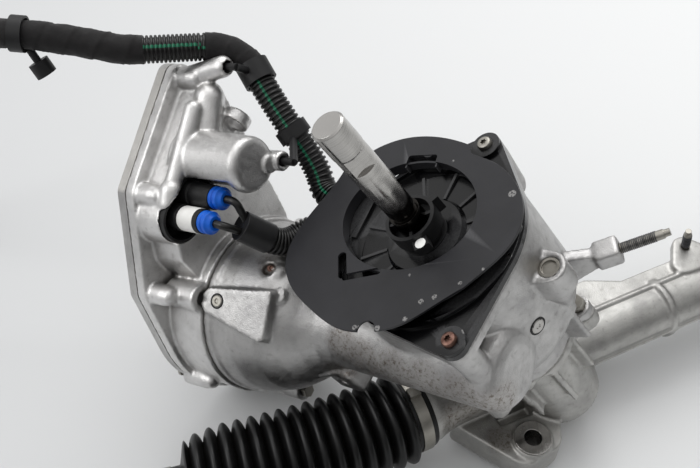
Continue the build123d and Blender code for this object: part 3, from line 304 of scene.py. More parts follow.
def cloth_tape(name):
    """PET cloth harness tape: matt black with a fine crosswise weave and a slight fuzz."""
    made, tree, place = begin(name)
    along = add(tree, "ShaderNodeAttribute", attribute_name="along").outputs["Fac"]
    around = add(tree, "ShaderNodeAttribute", attribute_name="around").outputs["Fac"]
    # threads drawn 0.6 mm apart, twice the real spacing, so that they show
    rates = (2 * math.pi / (0.6 * MM), 2 * math.pi * 88)
    threads = [calc(tree, "SINE", calc(tree, "MULTIPLY", axis, rate))
               for axis, rate in zip((along, around), rates)]
    weave = calc(tree, "MULTIPLY", *threads)
    cloud = texture(tree, place, 240.0, 6.0, 0.7)
    base = ramp(tree, cloud, [(0.35, "#090809"), (0.7, "#141112")])
    normal = bump(tree, cloud, 0.6, 0.0005)
    normal = bump(tree, weave, 0.35, 0.00015, normal)
    coat(tree, base, 0.75, normal, {"Specular IOR Level": 0.3, "Sheen Weight": 0.1, "Sheen Roughness": 0.5})
    return made


STAIN_BROWN = "#55483A"
CAST = ("#989797", "#B1B0AF", "#C2C1C0")
STAINS = [(gear(m, n, h), size) for m, n, h, size in (
    (-54, -66, 149, 17), (-38, -69, 143, 18), (-14, -69, 139, 20), (10, -69, 138, 20), (34, -70, 137, 19),
    (52, -66, 131, 16), (-70, -74, 122, 15), (-118, -36, 178, 9))]
STAINS += [(at(-75, -19, 8), 20), (at(-50, -38, -15), 13)]
SHIELD_TOP, ABOVE_COVER_RIM = 194.6, 187
CHIPS = [(gear(m, n, SHIELD_TOP), size) for m, n, size in (
    (48.4, 31.4, 3.6), (42, -27.6, 1.9), (23.2, -43, 2.6), (30.3, -38.7, 2.4), (7.4, -29, 1.4),
    (51.9, -16.9, 1.5), (18.4, -55, 2.4), (-8.4, -66.7, 3.0), (3.3, -64.1, 2.8), (-1.1, 48.4, 1.3),
    (-12, -67, 2.4))]
COVER_CHIPS = [(gear(m, n, ABOVE_COVER_RIM), size) for m, n, size in ((52, -50, 3.4), (58, -2, 3.0))]
FINISHES = {
    "cast_aluminium": cast_aluminium("blasted_cast_aluminium", CAST, 0.42, 0.8, "#5E5A54", STAINS),
    "rack_casting": cast_aluminium("grey_cast_aluminium", ("#989795", "#B0AFAC", "#C0BFBC"), 0.44, 0.9,
                                   "#55514A", STAINS),
    # painted shade on the input shaft in the sensor neck
    "machined_steel": turned_steel("turned_steel", ("#A09E9B", "#B5B3B0"), 0.13, painted_shade_below=(226, "#2B2927")),
    "ground_steel": turned_steel("ground_steel", ("#8E8C88", "#A9A8A5"), 0.14),
    "plated_steel": plain_finish("zinc_plated_steel", ("#8D8A83", "#A29F98"), 0.36, 1.0, dust_and_shade="#4A4238"),
    "tie_rod_steel": plain_finish("phosphated_steel", ("#4F5052", "#66676A"), 0.46, 1.0, dust_and_shade="#3A332B"),
    "black_plastic": plain_finish("moulded_black_polyamide", ("#111112", "#1A1A1B"), 0.45, grain_mm=0.5),
    "shield_black": chipped_coating("satin_black_coated_steel", ("#1C1C1F", "#232326"), 0.4, CHIPS, 0.45),
    "cover_black": chipped_coating("gloss_black_coated_aluminium", ("#030304", "#060607"), 0.2,
                                   COVER_CHIPS, 0.25),
    "boot_rubber": plain_finish("moulded_black_rubber", ("#070708", "#0C0C0D"), 0.36, grain_mm=0.6,
                                dust_and_shade="#161513"),
    "conduit_black": striped_conduit("ribbed_polyamide_conduit"),
    "loom_tape": cloth_tape("black_cloth_tape"),
    "seal_blue": plain_finish("blue_silicone_rubber", ("#0A4FB5", "#1263CE"), 0.4, grain_mm=0.7,
                              relief=0.00006),
    "seal_rubber": plain_finish("black_seal_rubber", ("#0C0C0D", "#161617"), 0.5),
    "gear_plastic": plain_finish("machined_polyamide", ("#BFB08A", "#CFC29E"), 0.4),
    "bronze": plain_finish("sintered_bronze", ("#8A6536", "#A27B45"), 0.45, 1.0),
    "board_green": plain_finish("green_circuit_laminate", ("#0D3B22", "#14512F"), 0.35),
    "magnet_grey": plain_finish("sintered_magnet", ("#3C3C3F", "#4B4B4E"), 0.5, 1.0),
    "copper_stack": plain_finish("wound_stack", ("#6B4A2E", "#7E6A58"), 0.45, 1.0),
    "seat_plastic": plain_finish("white_acetal", ("#C9C8BE", "#D8D7CE"), 0.35),
}
# painted light: a lighter copy of the cast aluminium for the control unit's housing, standing for more light
# on its upward faces; it also has no stain marks
CLEAN_PAINTED_LIGHT_CASTING = cast_aluminium("clean_painted_light_cast_aluminium", ("#B9B8B7", "#D2D1D0", "#E0DFDE"), 0.4, 0.8, "#6A6763")
LABEL_WHITE = plain_finish("printed_label_film", ("#DAD9D6", "#E6E5E2"), 0.5)
PAINT_WHITE = plain_finish("white_paint", ("#DEDEDC", "#EDEDEB"), 0.55, grain_mm=0.8)
RUSTY_SCREW = plain_finish("rust_stained_screw", ("#4A3029", "#87695E"), 0.42, 0.9, dust_and_shade="#2E1D16",
                           scale=420.0)


# --- meshes -----------------------------------------------------------------------------------
def placed(name, data):
    """An object of this data, put in the scene."""
    made = bpy.data.objects.new(name, data)
    bpy.context.scene.collection.objects.link(made)
    return made


def evaluated(obj):
    """The object's mesh after its modifiers."""
    bpy.context.view_layer.update()
    return bpy.data.meshes.new_from_object(obj.evaluated_get(bpy.context.evaluated_depsgraph_get()))


def mesh_of(edit, name):
    """Ends an edit as a mesh with its faces turned outward."""
    bmesh.ops.recalc_face_normals(edit, faces=edit.faces)
    mesh = bpy.data.meshes.new(name)
    edit.to_mesh(mesh)
    edit.free()
    return mesh


def circle_angles(sides):
    return [2 * math.pi * k / sides for k in range(sides)]


def bridge(edit, rings):
    """Quads between neighbouring rings of vertices."""
    for a, b in zip(rings, rings[1:]):
        sides = len(a)
        for k in range(sides):
            edit.faces.new((a[k], b[k], b[(k + 1) % sides], a[(k + 1) % sides]))


def show(name, mesh, body, slot, finish=None, sharp=35):
    """Puts a mesh in the scene on its body, smooth-shaded up to the sharp angle."""
    made = placed(name, mesh)
    mesh.materials.clear()
    mesh.materials.append(finish or FINISHES[slot])
    mesh.shade_smooth()
    if sharp:
        mesh.set_sharp_from_angle(angle=math.radians(sharp))
    if body:
        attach(made, body)
    return made


def merged_copy(node):
    """A CAD node's mesh with its loose triangles joined."""
    mesh = frame["nodes"][node].data.copy()
    edit = bmesh.new()
    edit.from_mesh(mesh)
    bmesh.ops.remove_doubles(edit, verts=edit.verts, dist=2e-6)
    edit.to_mesh(mesh)
    edit.free()
    if "custom_normal" in mesh.attributes:
        mesh.attributes.remove(mesh.attributes["custom_normal"])
    return mesh


def finished(mesh, *modifiers):
    """The mesh after the given (type, settings) modifiers."""
    helper = placed("helper", mesh)
    for kind, settings in modifiers:
        modifier = helper.modifiers.new(kind, kind)
        for name, value in settings.items():
            setattr(modifier, name, value)
    done = evaluated(helper)
    bpy.data.objects.remove(helper)
    return done


def casting(node, grain, rounds, finish=None):
    """A CAD casting with the rounded corners and blends that a die leaves."""
    mesh = finished(merged_copy(node), ("REMESH", {"mode": "VOXEL", "voxel_size": grain * MM}),
                    ("SMOOTH", {"factor": 0.5, "iterations": rounds}))
    made = show(node + "_casting", mesh, BODY_OF[node], SLOT_OF[node], finish, sharp=None)
    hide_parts(node)
    return made


def rounded(node, radius):
    """A CAD node with the small edge radii of a moulding or machined part; its flat faces shade flat."""
    mesh = merged_copy(node)
    edit = bmesh.new()
    edit.from_mesh(mesh)
    bmesh.ops.dissolve_limit(edit, angle_limit=math.radians(0.6), verts=edit.verts, edges=edit.edges)
    edit.to_mesh(mesh)
    edit.free()
    mesh.shade_smooth()
    mesh = finished(mesh, ("BEVEL", {"width": radius * MM, "segments": 2, "limit_method": "ANGLE",
                                     "angle_limit": math.radians(36), "use_clamp_overlap": True}),
                    ("WEIGHTED_NORMAL", {}))
    made = show(node + "_rounded", mesh, BODY_OF[node], SLOT_OF[node], sharp=None)
    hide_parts(node)
    return made


def turned(outline, place, sides=48):
    """Mesh turned from (along, radius) points in millimetres about the x axis of place.
    Ends on the axis are closed. A radius may also be a function of the angle."""
    edit = bmesh.new()
    rings = []
    for along, radius in outline:
        if radius == 0:
            rings.append([edit.verts.new(place @ Vector((along * MM, 0, 0)))])
            continue
        ring = []
        for a in circle_angles(sides):
            r = radius(a) if callable(radius) else radius
            ring.append(edit.verts.new(place @ (Vector((along, r * math.cos(a), r * math.sin(a))) * MM)))
        rings.append(ring)
    for a, b in zip(rings, rings[1:]):
        for i in range(sides):
            quad = [a[i % len(a)], a[(i + 1) % len(a)], b[(i + 1) % len(b)], b[i % len(b)]]
            face = list(dict.fromkeys(quad))
            if len(face) > 2:
                edit.faces.new(face)
    return mesh_of(edit, "turned")


def route(points):
    """The smooth line of a cord: its control points' NURBS spline, as a curve object."""
    curve = bpy.data.curves.new("route", "CURVE")
    curve.dimensions = "3D"
    curve.resolution_u = 24
    spline = curve.splines.new("NURBS")
    spline.points.add(len(points) - 1)
    for point, place in zip(spline.points, points):
        point.co = (*place, 1)
    spline.order_u = 3
    spline.use_endpoint_u = True
    return placed("route", curve)


def line_of(curve):
    """The points along a route."""
    return [v.co.copy() for v in evaluated(curve).vertices]


def even(points, step):
    """The same line with points a step apart, and its length."""
    lengths = [0.0]
    for a, b in zip(points, points[1:]):
        lengths.append(lengths[-1] + (b - a).length)
    count = max(2, round(lengths[-1] / step))
    found, i = [], 0
    for k in range(count + 1):
        want = lengths[-1] * k / count
        while i < len(points) - 2 and lengths[i + 1] < want:
            i += 1
        share = (want - lengths[i]) / max(lengths[i + 1] - lengths[i], 1e-9)
        found.append(points[i].lerp(points[i + 1], min(max(share, 0), 1)))
    return found, lengths[-1]


def grow(tree, line, values):
    """Runs a geometry tree on an object, which is used up, and gives the plain mesh."""
    modifier = line.modifiers.new(tree.name, "NODES")
    modifier.node_group = tree
    for item in tree.interface.items_tree:
        if item.in_out == "INPUT" and item.name in values:
            modifier[item.identifier] = values[item.name]
    mesh = evaluated(line)
    bpy.data.objects.remove(line)
    return mesh


def geometry_tree(name, numbers, others=()):
    """An empty geometry tree with its named inputs."""
    tree = bpy.data.node_groups.new(name, "GeometryNodeTree")
    tree.interface.new_socket("Line", in_out="INPUT", socket_type="NodeSocketGeometry")
    for label, value in numbers.items():
        tree.interface.new_socket(label, in_out="INPUT", socket_type="NodeSocketFloat").default_value = value
    for label, kind in others:
        tree.interface.new_socket(label, in_out="INPUT", socket_type=kind)
    tree.interface.new_socket("Mesh", in_out="OUTPUT", socket_type="NodeSocketGeometry")
    return tree, add(tree, "NodeGroupInput").outputs


def seal(tree, geometry, finish):
    """Ends a tree with real geometry and its material."""
    real = add(tree, "GeometryNodeRealizeInstances", {"Geometry": geometry}).outputs[0]
    real = add(tree, "GeometryNodeSetShadeSmooth", {"Geometry": real}).outputs[0]
    real = add(tree, "GeometryNodeSetMaterial", {"Geometry": real, "Material": finish}).outputs[0]
    add(tree, "NodeGroupOutput", {"Mesh": real})


def ribbed_conduit_tree():
    """Core tube with a rib every Pitch. 'around' is 1 on the printed line and falls off away from it."""
    numbers = {"Outside": 0.0092, "Pitch": 0.0036, "Rib": 0.0015, "Stripe": 0.0}
    tree, given = geometry_tree("ribbed_conduit", numbers, [("Finish", "NodeSocketMaterial")])
    share = add(tree, "GeometryNodeSplineParameter").outputs["Factor"]
    turn = calc(tree, "MULTIPLY", calc(tree, "SUBTRACT", share, given["Stripe"]), 2 * math.pi)
    around = calc(tree, "COSINE", turn)

    def circle(radius):
        hoop = add(tree, "GeometryNodeCurvePrimitiveCircle", {"Resolution": 32, "Radius": radius}).outputs[0]
        return add(tree, "GeometryNodeStoreNamedAttribute", {
            "Geometry": hoop, "Name": "around", "Value": around}).outputs[0]

    inner = calc(tree, "SUBTRACT", given["Outside"], given["Rib"])
    core = add(tree, "GeometryNodeCurveToMesh", {
        "Curve": given["Line"], "Profile Curve": circle(inner), "Fill Caps": True}).outputs[0]
    half = calc(tree, "MULTIPLY", given["Rib"], 0.5)
    middle = calc(tree, "SUBTRACT", given["Outside"], half)
    bead = add(tree, "GeometryNodeCurvePrimitiveCircle", {"Resolution": 8, "Radius": half}).outputs[0]
    rib = add(tree, "GeometryNodeCurveToMesh", {"Curve": circle(middle), "Profile Curve": bead}).outputs[0]
    steps = add(tree, "GeometryNodeCurveToPoints", {"Curve": given["Line"], "Length": given["Pitch"]},
                mode="LENGTH")
    ribs = add(tree, "GeometryNodeInstanceOnPoints", {
        "Points": steps.outputs["Points"], "Instance": rib, "Rotation": steps.outputs["Rotation"],
        "Scale": (1.0, 1.0, 1.35)}).outputs[0]
    both = add(tree, "GeometryNodeJoinGeometry", {0: core})
    tree.links.new(ribs, both.inputs[0])
    seal(tree, both.outputs[0], given["Finish"])
    return tree


def thread_tree():
    """One helical ridge round the z axis."""
    tree, given = geometry_tree("stud_thread", {"Radius": 0.003, "Pitch": 0.001, "Length": 0.02},
                                [("Finish", "NodeSocketMaterial")])
    helix = add(tree, "GeometryNodeCurveSpiral", {
        "Resolution": 20, "Rotations": calc(tree, "DIVIDE", given["Length"], given["Pitch"]),
        "Start Radius": given["Radius"], "End Radius": given["Radius"], "Height": given["Length"]}).outputs[0]
    ridge = calc(tree, "MULTIPLY", given["Pitch"], 0.42)
    bead = add(tree, "GeometryNodeCurvePrimitiveCircle", {"Resolution": 4, "Radius": ridge}).outputs[0]
    thread = add(tree, "GeometryNodeCurveToMesh", {"Curve": helix, "Profile Curve": bead, "Fill Caps": True})
    seal(tree, thread.outputs[0], given["Finish"])
    return tree


def planting_tree():
    """The same head at every vertex of the line mesh, turned the same way."""
    tree, given = geometry_tree("screw_heads", {}, [
        ("Head", "NodeSocketObject"), ("Turn", "NodeSocketRotation"), ("Finish", "NodeSocketMaterial")])
    head = add(tree, "GeometryNodeObjectInfo", {"Object": given["Head"]}).outputs["Geometry"]
    heads = add(tree, "GeometryNodeInstanceOnPoints", {"Points": given["Line"], "Instance": head,
                                                       "Rotation": given["Turn"]}).outputs[0]
    seal(tree, heads, given["Finish"])
    return tree


CONDUIT_TREE, THREAD_TREE, PLANTING_TREE = ribbed_conduit_tree(), thread_tree(), planting_tree()


def sleeve(points, radius, step, name, sides=40):
    """Closed tube of tape along points. radius(along, angle) is in metres.
    The weave of its material reads the attributes 'along' and 'around'."""
    line, total = even(points, step)
    edit = bmesh.new()
    along_layer = edit.verts.layers.float.new("along")
    around_layer = edit.loops.layers.float.new("around")
    side = None
    rings = []
    for i, centre in enumerate(line):
        ahead = (line[min(i + 1, len(line) - 1)] - line[max(i - 1, 0)]).normalized()
        if side is None:
            side = ahead.cross(UP).normalized()
        side = (side - ahead * side.dot(ahead)).normalized()
        up = ahead.cross(side)
        along = total * i / (len(line) - 1)
        ring = []
        for a in circle_angles(sides):
            vert = edit.verts.new(centre + (side * math.cos(a) + up * math.sin(a)) * radius(along, a))
            vert[along_layer] = along
            ring.append(vert)
        rings.append(ring)
    for a, b in zip(rings, rings[1:]):
        for k in range(sides):
            face = edit.faces.new((a[k], b[k], b[(k + 1) % sides], a[(k + 1) % sides]))
            for loop, turn in zip(face.loops, (k, k, k + 1, k + 1)):
                loop[around_layer] = turn / sides
    for ring, flip in ((rings[0], False), (rings[-1], True)):
        middle = edit.verts.new(sum((v.co for v in ring), Vector()) / sides)
        middle[along_layer] = ring[0][along_layer]
        for k in range(sides):
            trio = (ring[k], ring[(k + 1) % sides], middle)
            edit.faces.new(trio[::-1] if flip else trio)
    return show(name, mesh_of(edit, name), "housing", "loom_tape", sharp=50)


# --- harness -----------------------------------------------------------------------------------
LOOM_START, CLIP_UPPER = at(-193, 218, 191), gear(-153, 79, 262)
CONDUIT_BACK = CLIP_UPPER + (LOOM_START - CLIP_UPPER) * 0.43
HELD_ROUTE = [CONDUIT_BACK, CLIP_UPPER] + [gear(*p) for p in (
    (-127, 53, 232), (-105, 34, 193), (-101, 20, 180.5), (-86, 18.5, 178))]
BRANCH_ROUTE = [gear(*p) for p in (
    (-110, -24.6, 196), (-106.6, -22.56, 185), (-100, -3, 178), (-86, -1, 178))]
FREE_ROUTE = [CONDUIT_BACK, LOOM_START]
CONDUIT_R, LOOM_R = 0.0092, 0.0100
LOOM_FLOOR = FLOOR + 10
LOOM_LEAD = (LOOM_START - CONDUIT_BACK).normalized() * 0.012
LOOM_ROUTE = [LOOM_START, LOOM_START + LOOM_LEAD] + [at(*p) for p in (
    (-231, 239, 196.5), (-272, 260, 203), (-323, 294, 192), (-368, 320, 134),
    (-392, 337, 62), (-402, 352, 0), (-408, 384, LOOM_FLOOR), (-408, 442, LOOM_FLOOR))]


def conduits():
    for node, points, pitch, stripe in (("held_conduit", HELD_ROUTE, 0.0032, -0.1),
                                        ("branch_conduit", BRANCH_ROUTE, 0.0026, 0.3),
                                        ("free_conduit", FREE_ROUTE, 0.0026, -0.36)):
        values = {"Outside": CONDUIT_R, "Pitch": pitch, "Rib": 0.0015, "Stripe": stripe,
                  "Finish": FINISHES["conduit_black"]}
        mesh = grow(CONDUIT_TREE, route(points), values)
        made = show(node + "_ribbed", mesh, "housing", "conduit_black", sharp=None)
        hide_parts(node)


def tape_wrap(base, pitch, lift, fuzz, seed):
    """Radius of cloth tape wound with overlaps: a small step each turn, soft creases and loose threads."""
    def radius(along, angle):
        winding = (along / pitch + angle / (2 * math.pi)) % 1
        step = lift * (1 - winding) ** 3
        across, up = math.cos(angle), math.sin(angle)
        crease = noise.noise(Vector((along * 130, across * 1.6, up * 1.6 + seed))) * fuzz
        fine = noise.noise(Vector((along * 620, across * 5, up * 5 + seed))) * fuzz * 0.35
        return base - lift - fuzz + step + crease + fine
    return radius


def loom():
    line = line_of(route(LOOM_ROUTE))
    shape = tape_wrap(LOOM_R + 0.0005, 0.019, 0.0005, 0.0006, 3.0)
    taped = sleeve(line, shape, 0.0011, "taped_loom")
    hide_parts("loom")
    points, length = even(line, 0.004)
    return taped, points, length


def corner_tape():
    """Tape that binds the conduit where the clip holds it on the control unit's arm."""
    points, _ = even(line_of(route(HELD_ROUTE)), 0.001)
    taped_from, taped_to = 4, 40        # millimetres from the conduit's upper end
    shape = tape_wrap(CONDUIT_R + 0.0013, 0.012, 0.0004, 0.0004, 9.0)
    sleeve(points[taped_from:taped_to], shape, 0.0009, "corner_tape")


# --- rack side ------------------------------------------------------------------------------------
BOOT_SPLITS = (20, 46)      # along the rod from the ball centre: the boot is split at them
BOOT_VALLEY, BOOT_CREST = 24.2, 32.2
BOOT_CUFF = 11.0
BOOT_WALL = 1.5
RINGS_A_FOLD = 12


def bellows(name, centre, outward, yaw, start, nose, folds):
    """A convoluted boot in three pieces, split where its ball joint bends."""
    nose_turn = Vector((math.cos(yaw), math.sin(yaw), 0))
    spine_start, spine_end = Vector((start, 0, 0)), nose_turn * nose
    reach = (spine_end - spine_start).length
    frame_at = Matrix.Translation(centre) @ Matrix.Rotation(outward, 4, "Z")
    count = folds * RINGS_A_FOLD

    def spine(t):
        h = (2 * t**3 - 3 * t**2 + 1, t**3 - 2 * t**2 + t, -2 * t**3 + 3 * t**2, t**3 - t**2)
        return spine_start * h[0] + Vector((reach, 0, 0)) * h[1] + spine_end * h[2] + nose_turn * reach * h[3]

    def radius(t):
        phase = (t * folds) % 1
        wave = abs(math.sin(math.pi * phase)) ** 0.75
        r = BOOT_VALLEY + (BOOT_CREST - BOOT_VALLEY) * wave - 5.5 * max(0, t - 0.8) / 0.2
        collar = max(0.0, min(1.0, (t - 0.955) / 0.03))
        return r * (1 - collar) + BOOT_CUFF * collar

    def skin(edit, low, high, inset):
        """Rings of vertices round the spine, from one station to another."""
        rings = []
        for i in range(low, high + 1):
            t = i / count
            here, ahead = spine(t), (spine(min(t + 1e-3, 1)) - spine(max(t - 1e-3, 0))).normalized()
            across = UP.cross(ahead)
            r = radius(t) - inset
            spokes = [across * math.cos(a) + UP * math.sin(a) for a in circle_angles(64)]
            rings.append([edit.verts.new(frame_at @ ((here + spoke * r) * MM)) for spoke in spokes])
        bridge(edit, rings)
        return rings

    splits = [min(range(count), key=lambda i: abs(spine(i / count).x - limit)) for limit in BOOT_SPLITS]
    stations = [0, *splits, count]
    pieces = []
    for part, low, high in zip(("root", "middle", "nose"), stations, stations[1:]):
        edit = bmesh.new()
        outer, inner = [skin(edit, low, high, inset) for inset in (0, BOOT_WALL)]
        for end in (0, -1):
            a, b = outer[end], inner[end]
            for k, following in zip(range(len(a)), [*range(1, len(a)), 0]):
                edit.faces.new((a[k], a[following], b[following], b[k]))
        pieces.append(show(f"{name}_{part}", mesh_of(edit, name), None, "boot_rubber", sharp=60))
    side = name.rsplit("_", 1)[1]
    chain = ["housing", "rack", "seat_" + side, "rod_" + side]
    limits = (start, *BOOT_SPLITS, nose - 8)
    for piece, a, b, low, high in zip(pieces, chain, chain[1:], limits, limits[1:]):
        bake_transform(piece)
    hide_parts(name)
    # the root's plain collar on the housing end, and the nose's cuff on the rod
    collar = [(start - 14, 24.02), (start - 14, 25.2), (start - 12.5, 26.0), (start - 2, 26.0),
              (start + 0.6, 25.4), (start + 0.6, 24.02)]
    show(name + "_collar", turned(collar + collar[:1], frame_at), "housing", "boot_rubber")
    cuff = [(nose - 1, 7.05), (nose - 1, BOOT_CUFF), (nose + 11.5, 10.6), (nose + 13, 9.8), (nose + 13, 7.05)]
    mesh = turned(cuff + cuff[:1], frame_at @ Matrix.Rotation(yaw, 4, "Z"))
    show(name + "_cuff", mesh, "rod_" + side, "boot_rubber")


def boots():
    bellows("boot_left", at(-164, 0, 0), math.pi, math.radians(-11.6), -56, 102, 16)
    bellows("boot_right", at(526, 0, 0), 0, math.radians(5), -126, 100, 16)


# --- small pieces -----------------------------------------------------------------------------------
def cover_screws():
    """Pan-head screws with a six-lobe socket; the one beside the scuffed rim is stained with rust."""
    def lobes(angle):
        return 1.75 + 0.32 * math.cos(6 * angle)
    outline = [(-20, 0), (-20, 2.5), (0, 2.5), (0, 4.6), (1.6, 4.6), (2.6, 4.0), (3, 3.0), (3, lobes),
               (1.2, lobes), (0.9, 0)]
    upright = Matrix.Rotation(math.radians(-90), 4, "Y")
    for name, places, finish in (("cover_screws_bright", ((9, 67), (-58, -30)), FINISHES["plated_steel"]),
                                 ("cover_screw_rusty", ((46, -58),), RUSTY_SCREW)):
        head = placed("head", turned(outline, upright, 36))
        dots = bpy.data.meshes.new("places")
        dots.from_pydata([gear(m, n, 186.6) for m, n in places], [], [])
        values = {"Head": head, "Turn": GEAR.to_euler(), "Finish": finish}
        mesh = grow(PLANTING_TREE, placed(name, dots), values)
        bpy.data.objects.remove(head)
        made = show(name, mesh, "housing", "plated_steel", finish)
        if name.endswith("bright"):
            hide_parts("cover_screws")


def stud_threads():
    """M6 threads on the two harness studs, 1 mm pitch, over their turned shanks."""
    arm_axis = MOTOR * math.cos(math.radians(32)) + ACROSS * math.sin(math.radians(32))
    arm_foot = gear(0, 0, 115) + arm_axis * 0.0925
    tube_axis = Vector((-0.17, 0, 1)).normalized()
    tube_foot = at(146, 27, 22.8) + tube_axis * 0.001
    for name, foot, axis, length in (("thread_arm", arm_foot, arm_axis, 0.021),
                                     ("thread_tube", tube_foot, tube_axis, 0.0125)):
        stand = route([foot, foot + axis])
        mesh = grow(THREAD_TREE, stand, {"Radius": 0.0030, "Pitch": 0.00105, "Length": length,
                                         "Finish": FINISHES["tie_rod_steel"]})
        mesh.transform(Matrix.Translation(foot) @ axis.to_track_quat("Z", "Y").to_matrix().to_4x4())
        show(name, mesh, "housing", "plated_steel", FINISHES["tie_rod_steel"], sharp=None)


def step_lip():
    """Down-turned edge round the step of the shield's opening."""
    outline = [(-11.3, -3.5), (-11.3, 5.3), (11.3, 5.3), (11.3, -3.5), (10.4, -3.5), (10.4, 4.4),
               (-10.4, 4.4), (-10.4, -3.5)]
    cos, sin = math.cos(math.radians(8)), math.sin(math.radians(8))

    def corner(x, y, h):
        return gear(-24 + x * cos - y * sin, 46 + x * sin + y * cos, h)

    edit = bmesh.new()
    rings = [[edit.verts.new(corner(x, y, h)) for x, y in outline] for h in (187.3, 193.3)]
    for k in range(len(outline)):
        following = (k + 1) % len(outline)
        edit.faces.new((rings[0][k], rings[0][following], rings[1][following], rings[1][k]))
    edit.faces.new(rings[0])
    edit.faces.new(rings[1][::-1])
    show("step_lip", mesh_of(edit, "step_lip"), "housing", "shield_black")


def set_screws():
    """Ends set flush into the castings: a dowel, a bright screw on the pad, a rust-stained one above it."""
    for name, place, out, radius, finish in (
            ("case_dowel", (57.2, -17.3, 131.3), (0.96, -0.29, 0.0), 4.6, FINISHES["machined_steel"]),
            ("pad_screw", (-136.5, -70.9, 186.5), (0.21, -0.41, 0.89), 3.9, FINISHES["plated_steel"]),
            ("pad_screw_rusty", (-114.9, -36.6, 177.5), (0.52, -0.33, 0.79), 3.6, RUSTY_SCREW)):
        axis = (MOTOR * out[0] + ACROSS * out[1] + PIN * out[2]).normalized()
        stand = Matrix.Translation(gear(*place)) @ axis.to_track_quat("X", "Y").to_matrix().to_4x4()
        end = [(-3, 0), (-3, radius), (0.5, radius), (0.9, radius - 0.5), (0.9, 1.7), (0.3, 1.2), (0.3, 0)]
        show(name, turned(end, stand, 32), "housing", "plated_steel", finish)
        rim = [(-2, radius + 0.1), (-2, radius + 1.3), (0.25, radius + 1.3), (0.25, radius + 0.1)]
        show(name + "_joint", turned(rim + rim[:1], stand, 32), "housing", "plated_steel",
             FINISHES["seal_rubber"])


def plug_label():
    """Blank film label wrapped round the nearer plug."""
    place = GEAR @ Matrix.Translation(Vector((-153, -36, 229)) * MM)
    band = [(0, 8.02), (0, 8.2), (0.3, 8.28), (14.7, 8.28), (15, 8.2), (15, 8.02)]
    show("plug_label", turned(band + band[:1], place), "housing", "black_plastic", LABEL_WHITE)


def paint_dot():
    """White paint dot on the alignment ring's tab."""
    upright = Matrix.Rotation(math.radians(-90), 4, "Y")
    place = GEAR @ Matrix.Translation(Vector((13.2, -13.2, 205)) * MM) @ upright
    dot = [(0.0, 0), (0.0, 3.3), (0.15, 3.3), (0.28, 2.9), (0.3, 0)]
    show("paint_dot", turned(dot, place, 32), "steering_input", "black_plastic", PAINT_WHITE)


# --- build --------------------------------------------------------------------------------------------
casting("rack_housing", 1.15, 3, FINISHES["rack_casting"])
casting("gear_housing", 1.2, 4)
# the control unit's housing takes the lighter, painted-light copy of the casting finish
casting("ecu_housing", 1.1, 3, CLEAN_PAINTED_LIGHT_CASTING)
RADII = {
    "ecu_cover": 0.8, "sensor_cover": 0.7, "dust_shield": 0.35, "input_shaft": 0.25, "alignment_ring": 0.3,
    "boot_bands": 0.15, "boot_clip_left": 0.15, "boot_clip_right": 0.15, "lock_nut_left": 0.3,
    "lock_nut_right": 0.3,
    "tie_rod_left": 0.3, "tie_rod_right": 0.3, "mount_sleeves": 0.4, "blanking_plugs": 0.3,
    "case_screws": 0.3,
    "connector_socket": 0.4, "ecu_plugs": 0.4, "plug_seals": 0.3, "plug_leads": 0.1, "lead_sleeve": 0.5,
    "sensor_plug": 0.3, "harness_clips": 0.3, "harness_studs": 0.25, "input_seal": 0.2, "loom_connector": 0.5,
    "pinion_cap": 0.3, "yoke_plug": 0.3, "rack_bar": 0.3, "joint_sockets": 0.4,
}
for node, radius in RADII.items():
    rounded(node, radius)
conduits()
corner_tape()
taped_loom, loom_line, loom_length = loom()
boots()
cover_screws()
stud_threads()
step_lip()
set_screws()
plug_label()
paint_dot()
for obj in list(bpy.data.objects):
    if obj.name.startswith("route"):
        bpy.data.objects.remove(obj)
for node, obj in frame["nodes"].items():
    for holder in obj.material_slots:
        holder.material = FINISHES[SLOT_OF[node]]


# --- studio ---------------------------------------------------------------------------------------------
CAMERA_PLACE = at(-291.486, -296.774, 609.634)
RIGHT, DOWN = Vector((0.9018, -0.4321, 0)), Vector((-0.331, -0.6908, -0.6428))
AHEAD = Vector((0.2777, 0.5797, -0.766))
FOCAL_MM, SENSOR_MM = 51.43, 36
FLOOR_HALF = 6
LAMPS = (("key", (0.4, 1.0, 1.5), 1.1, 11), ("side", (-1.3, 0.5, 1.0), 0.8, 6))


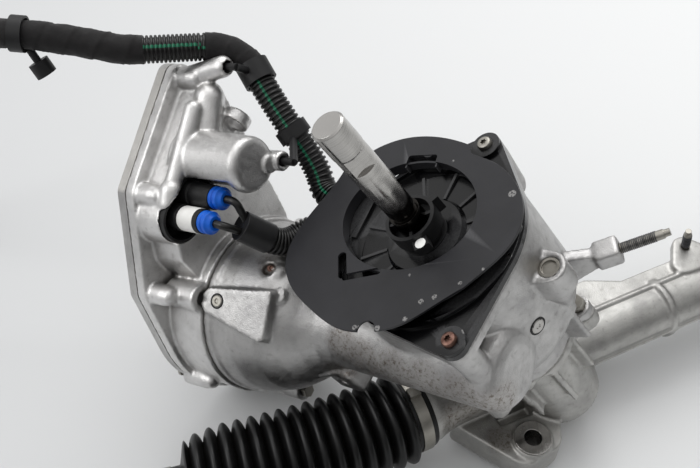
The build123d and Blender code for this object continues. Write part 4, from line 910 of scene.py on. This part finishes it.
def studio():
    """Wide pale floor, an even white surround, and two large soft lamps."""
    mesh = bpy.data.meshes.new("floor")
    corners_at = [(x * FLOOR_HALF, y * FLOOR_HALF, 0) for x, y in ((-1, -1), (1, -1), (1, 1), (-1, 1))]
    mesh.from_pydata(corners_at, [], [(0, 1, 2, 3)])
    floor = placed("floor", mesh)
    paper, tree, place = begin("white_paper_sweep")
    # painted shade: the paper is a little darker toward the left and the back, standing for less lamp light
    # there
    slope = add(tree, "ShaderNodeVectorMath", {0: place, 1: (0.902, -0.432, 0)},
                operation="DOT_PRODUCT").outputs["Value"]
    tone = ramp(tree, span(tree, slope, -0.6, 0.5), [(0.0, "#C3C4C5"), (1.0, "#EEEFEF")])
    close(tree, add(tree, "ShaderNodeBsdfDiffuse", {"Color": tone}))
    mesh.materials.append(paper)

    world = bpy.data.worlds.new("studio")
    bpy.context.scene.world = world
    world.use_nodes = True
    tree = world.node_tree
    tree.nodes.clear()
    rays = add(tree, "ShaderNodeLightPath").outputs
    seen = calc(tree, "MAXIMUM", rays["Is Camera Ray"], rays["Is Transmission Ray"])
    # a light tent: bright overhead and at the back, darker low down in front
    ray = add(tree, "ShaderNodeTexCoord").outputs["Generated"]
    toward = add(tree, "ShaderNodeVectorMath", {0: ray, 1: (-0.12, 0.42, 0.9)},
                 operation="DOT_PRODUCT").outputs["Value"]
    tent = span(tree, toward, -0.15, 0.95, 0.12, 1.15)
    strength = add(tree, "ShaderNodeMix", {0: seen, 2: tent, 3: 1.0}).outputs[0]
    sky = add(tree, "ShaderNodeBackground", {"Color": (1, 1, 1, 1), "Strength": strength})
    add(tree, "ShaderNodeOutputWorld", {"Surface": sky.outputs[0]})

    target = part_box("gear_housing")[0].lerp(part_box("gear_housing")[1], 0.5)
    for name, place, size, power in LAMPS:
        lamp = bpy.data.lights.new(name, "AREA")
        lamp.size, lamp.energy = size, power
        aim = (target - Vector(place)).to_track_quat("-Z", "Y").to_matrix().to_4x4()
        placed(name, lamp).matrix_world = Matrix.Translation(place) @ aim

    lens = bpy.data.cameras.new("camera")
    lens.lens, lens.sensor_width = FOCAL_MM, SENSOR_MM
    lens.clip_end = 50
    camera = placed("camera", lens)
    turn = Matrix((RIGHT, -DOWN, -AHEAD)).transposed().to_4x4()
    camera.matrix_world = Matrix.Translation(CAMERA_PLACE) @ turn
    bpy.context.scene.camera = camera


studio()
bpy.context.scene.view_settings.view_transform = "Standard"
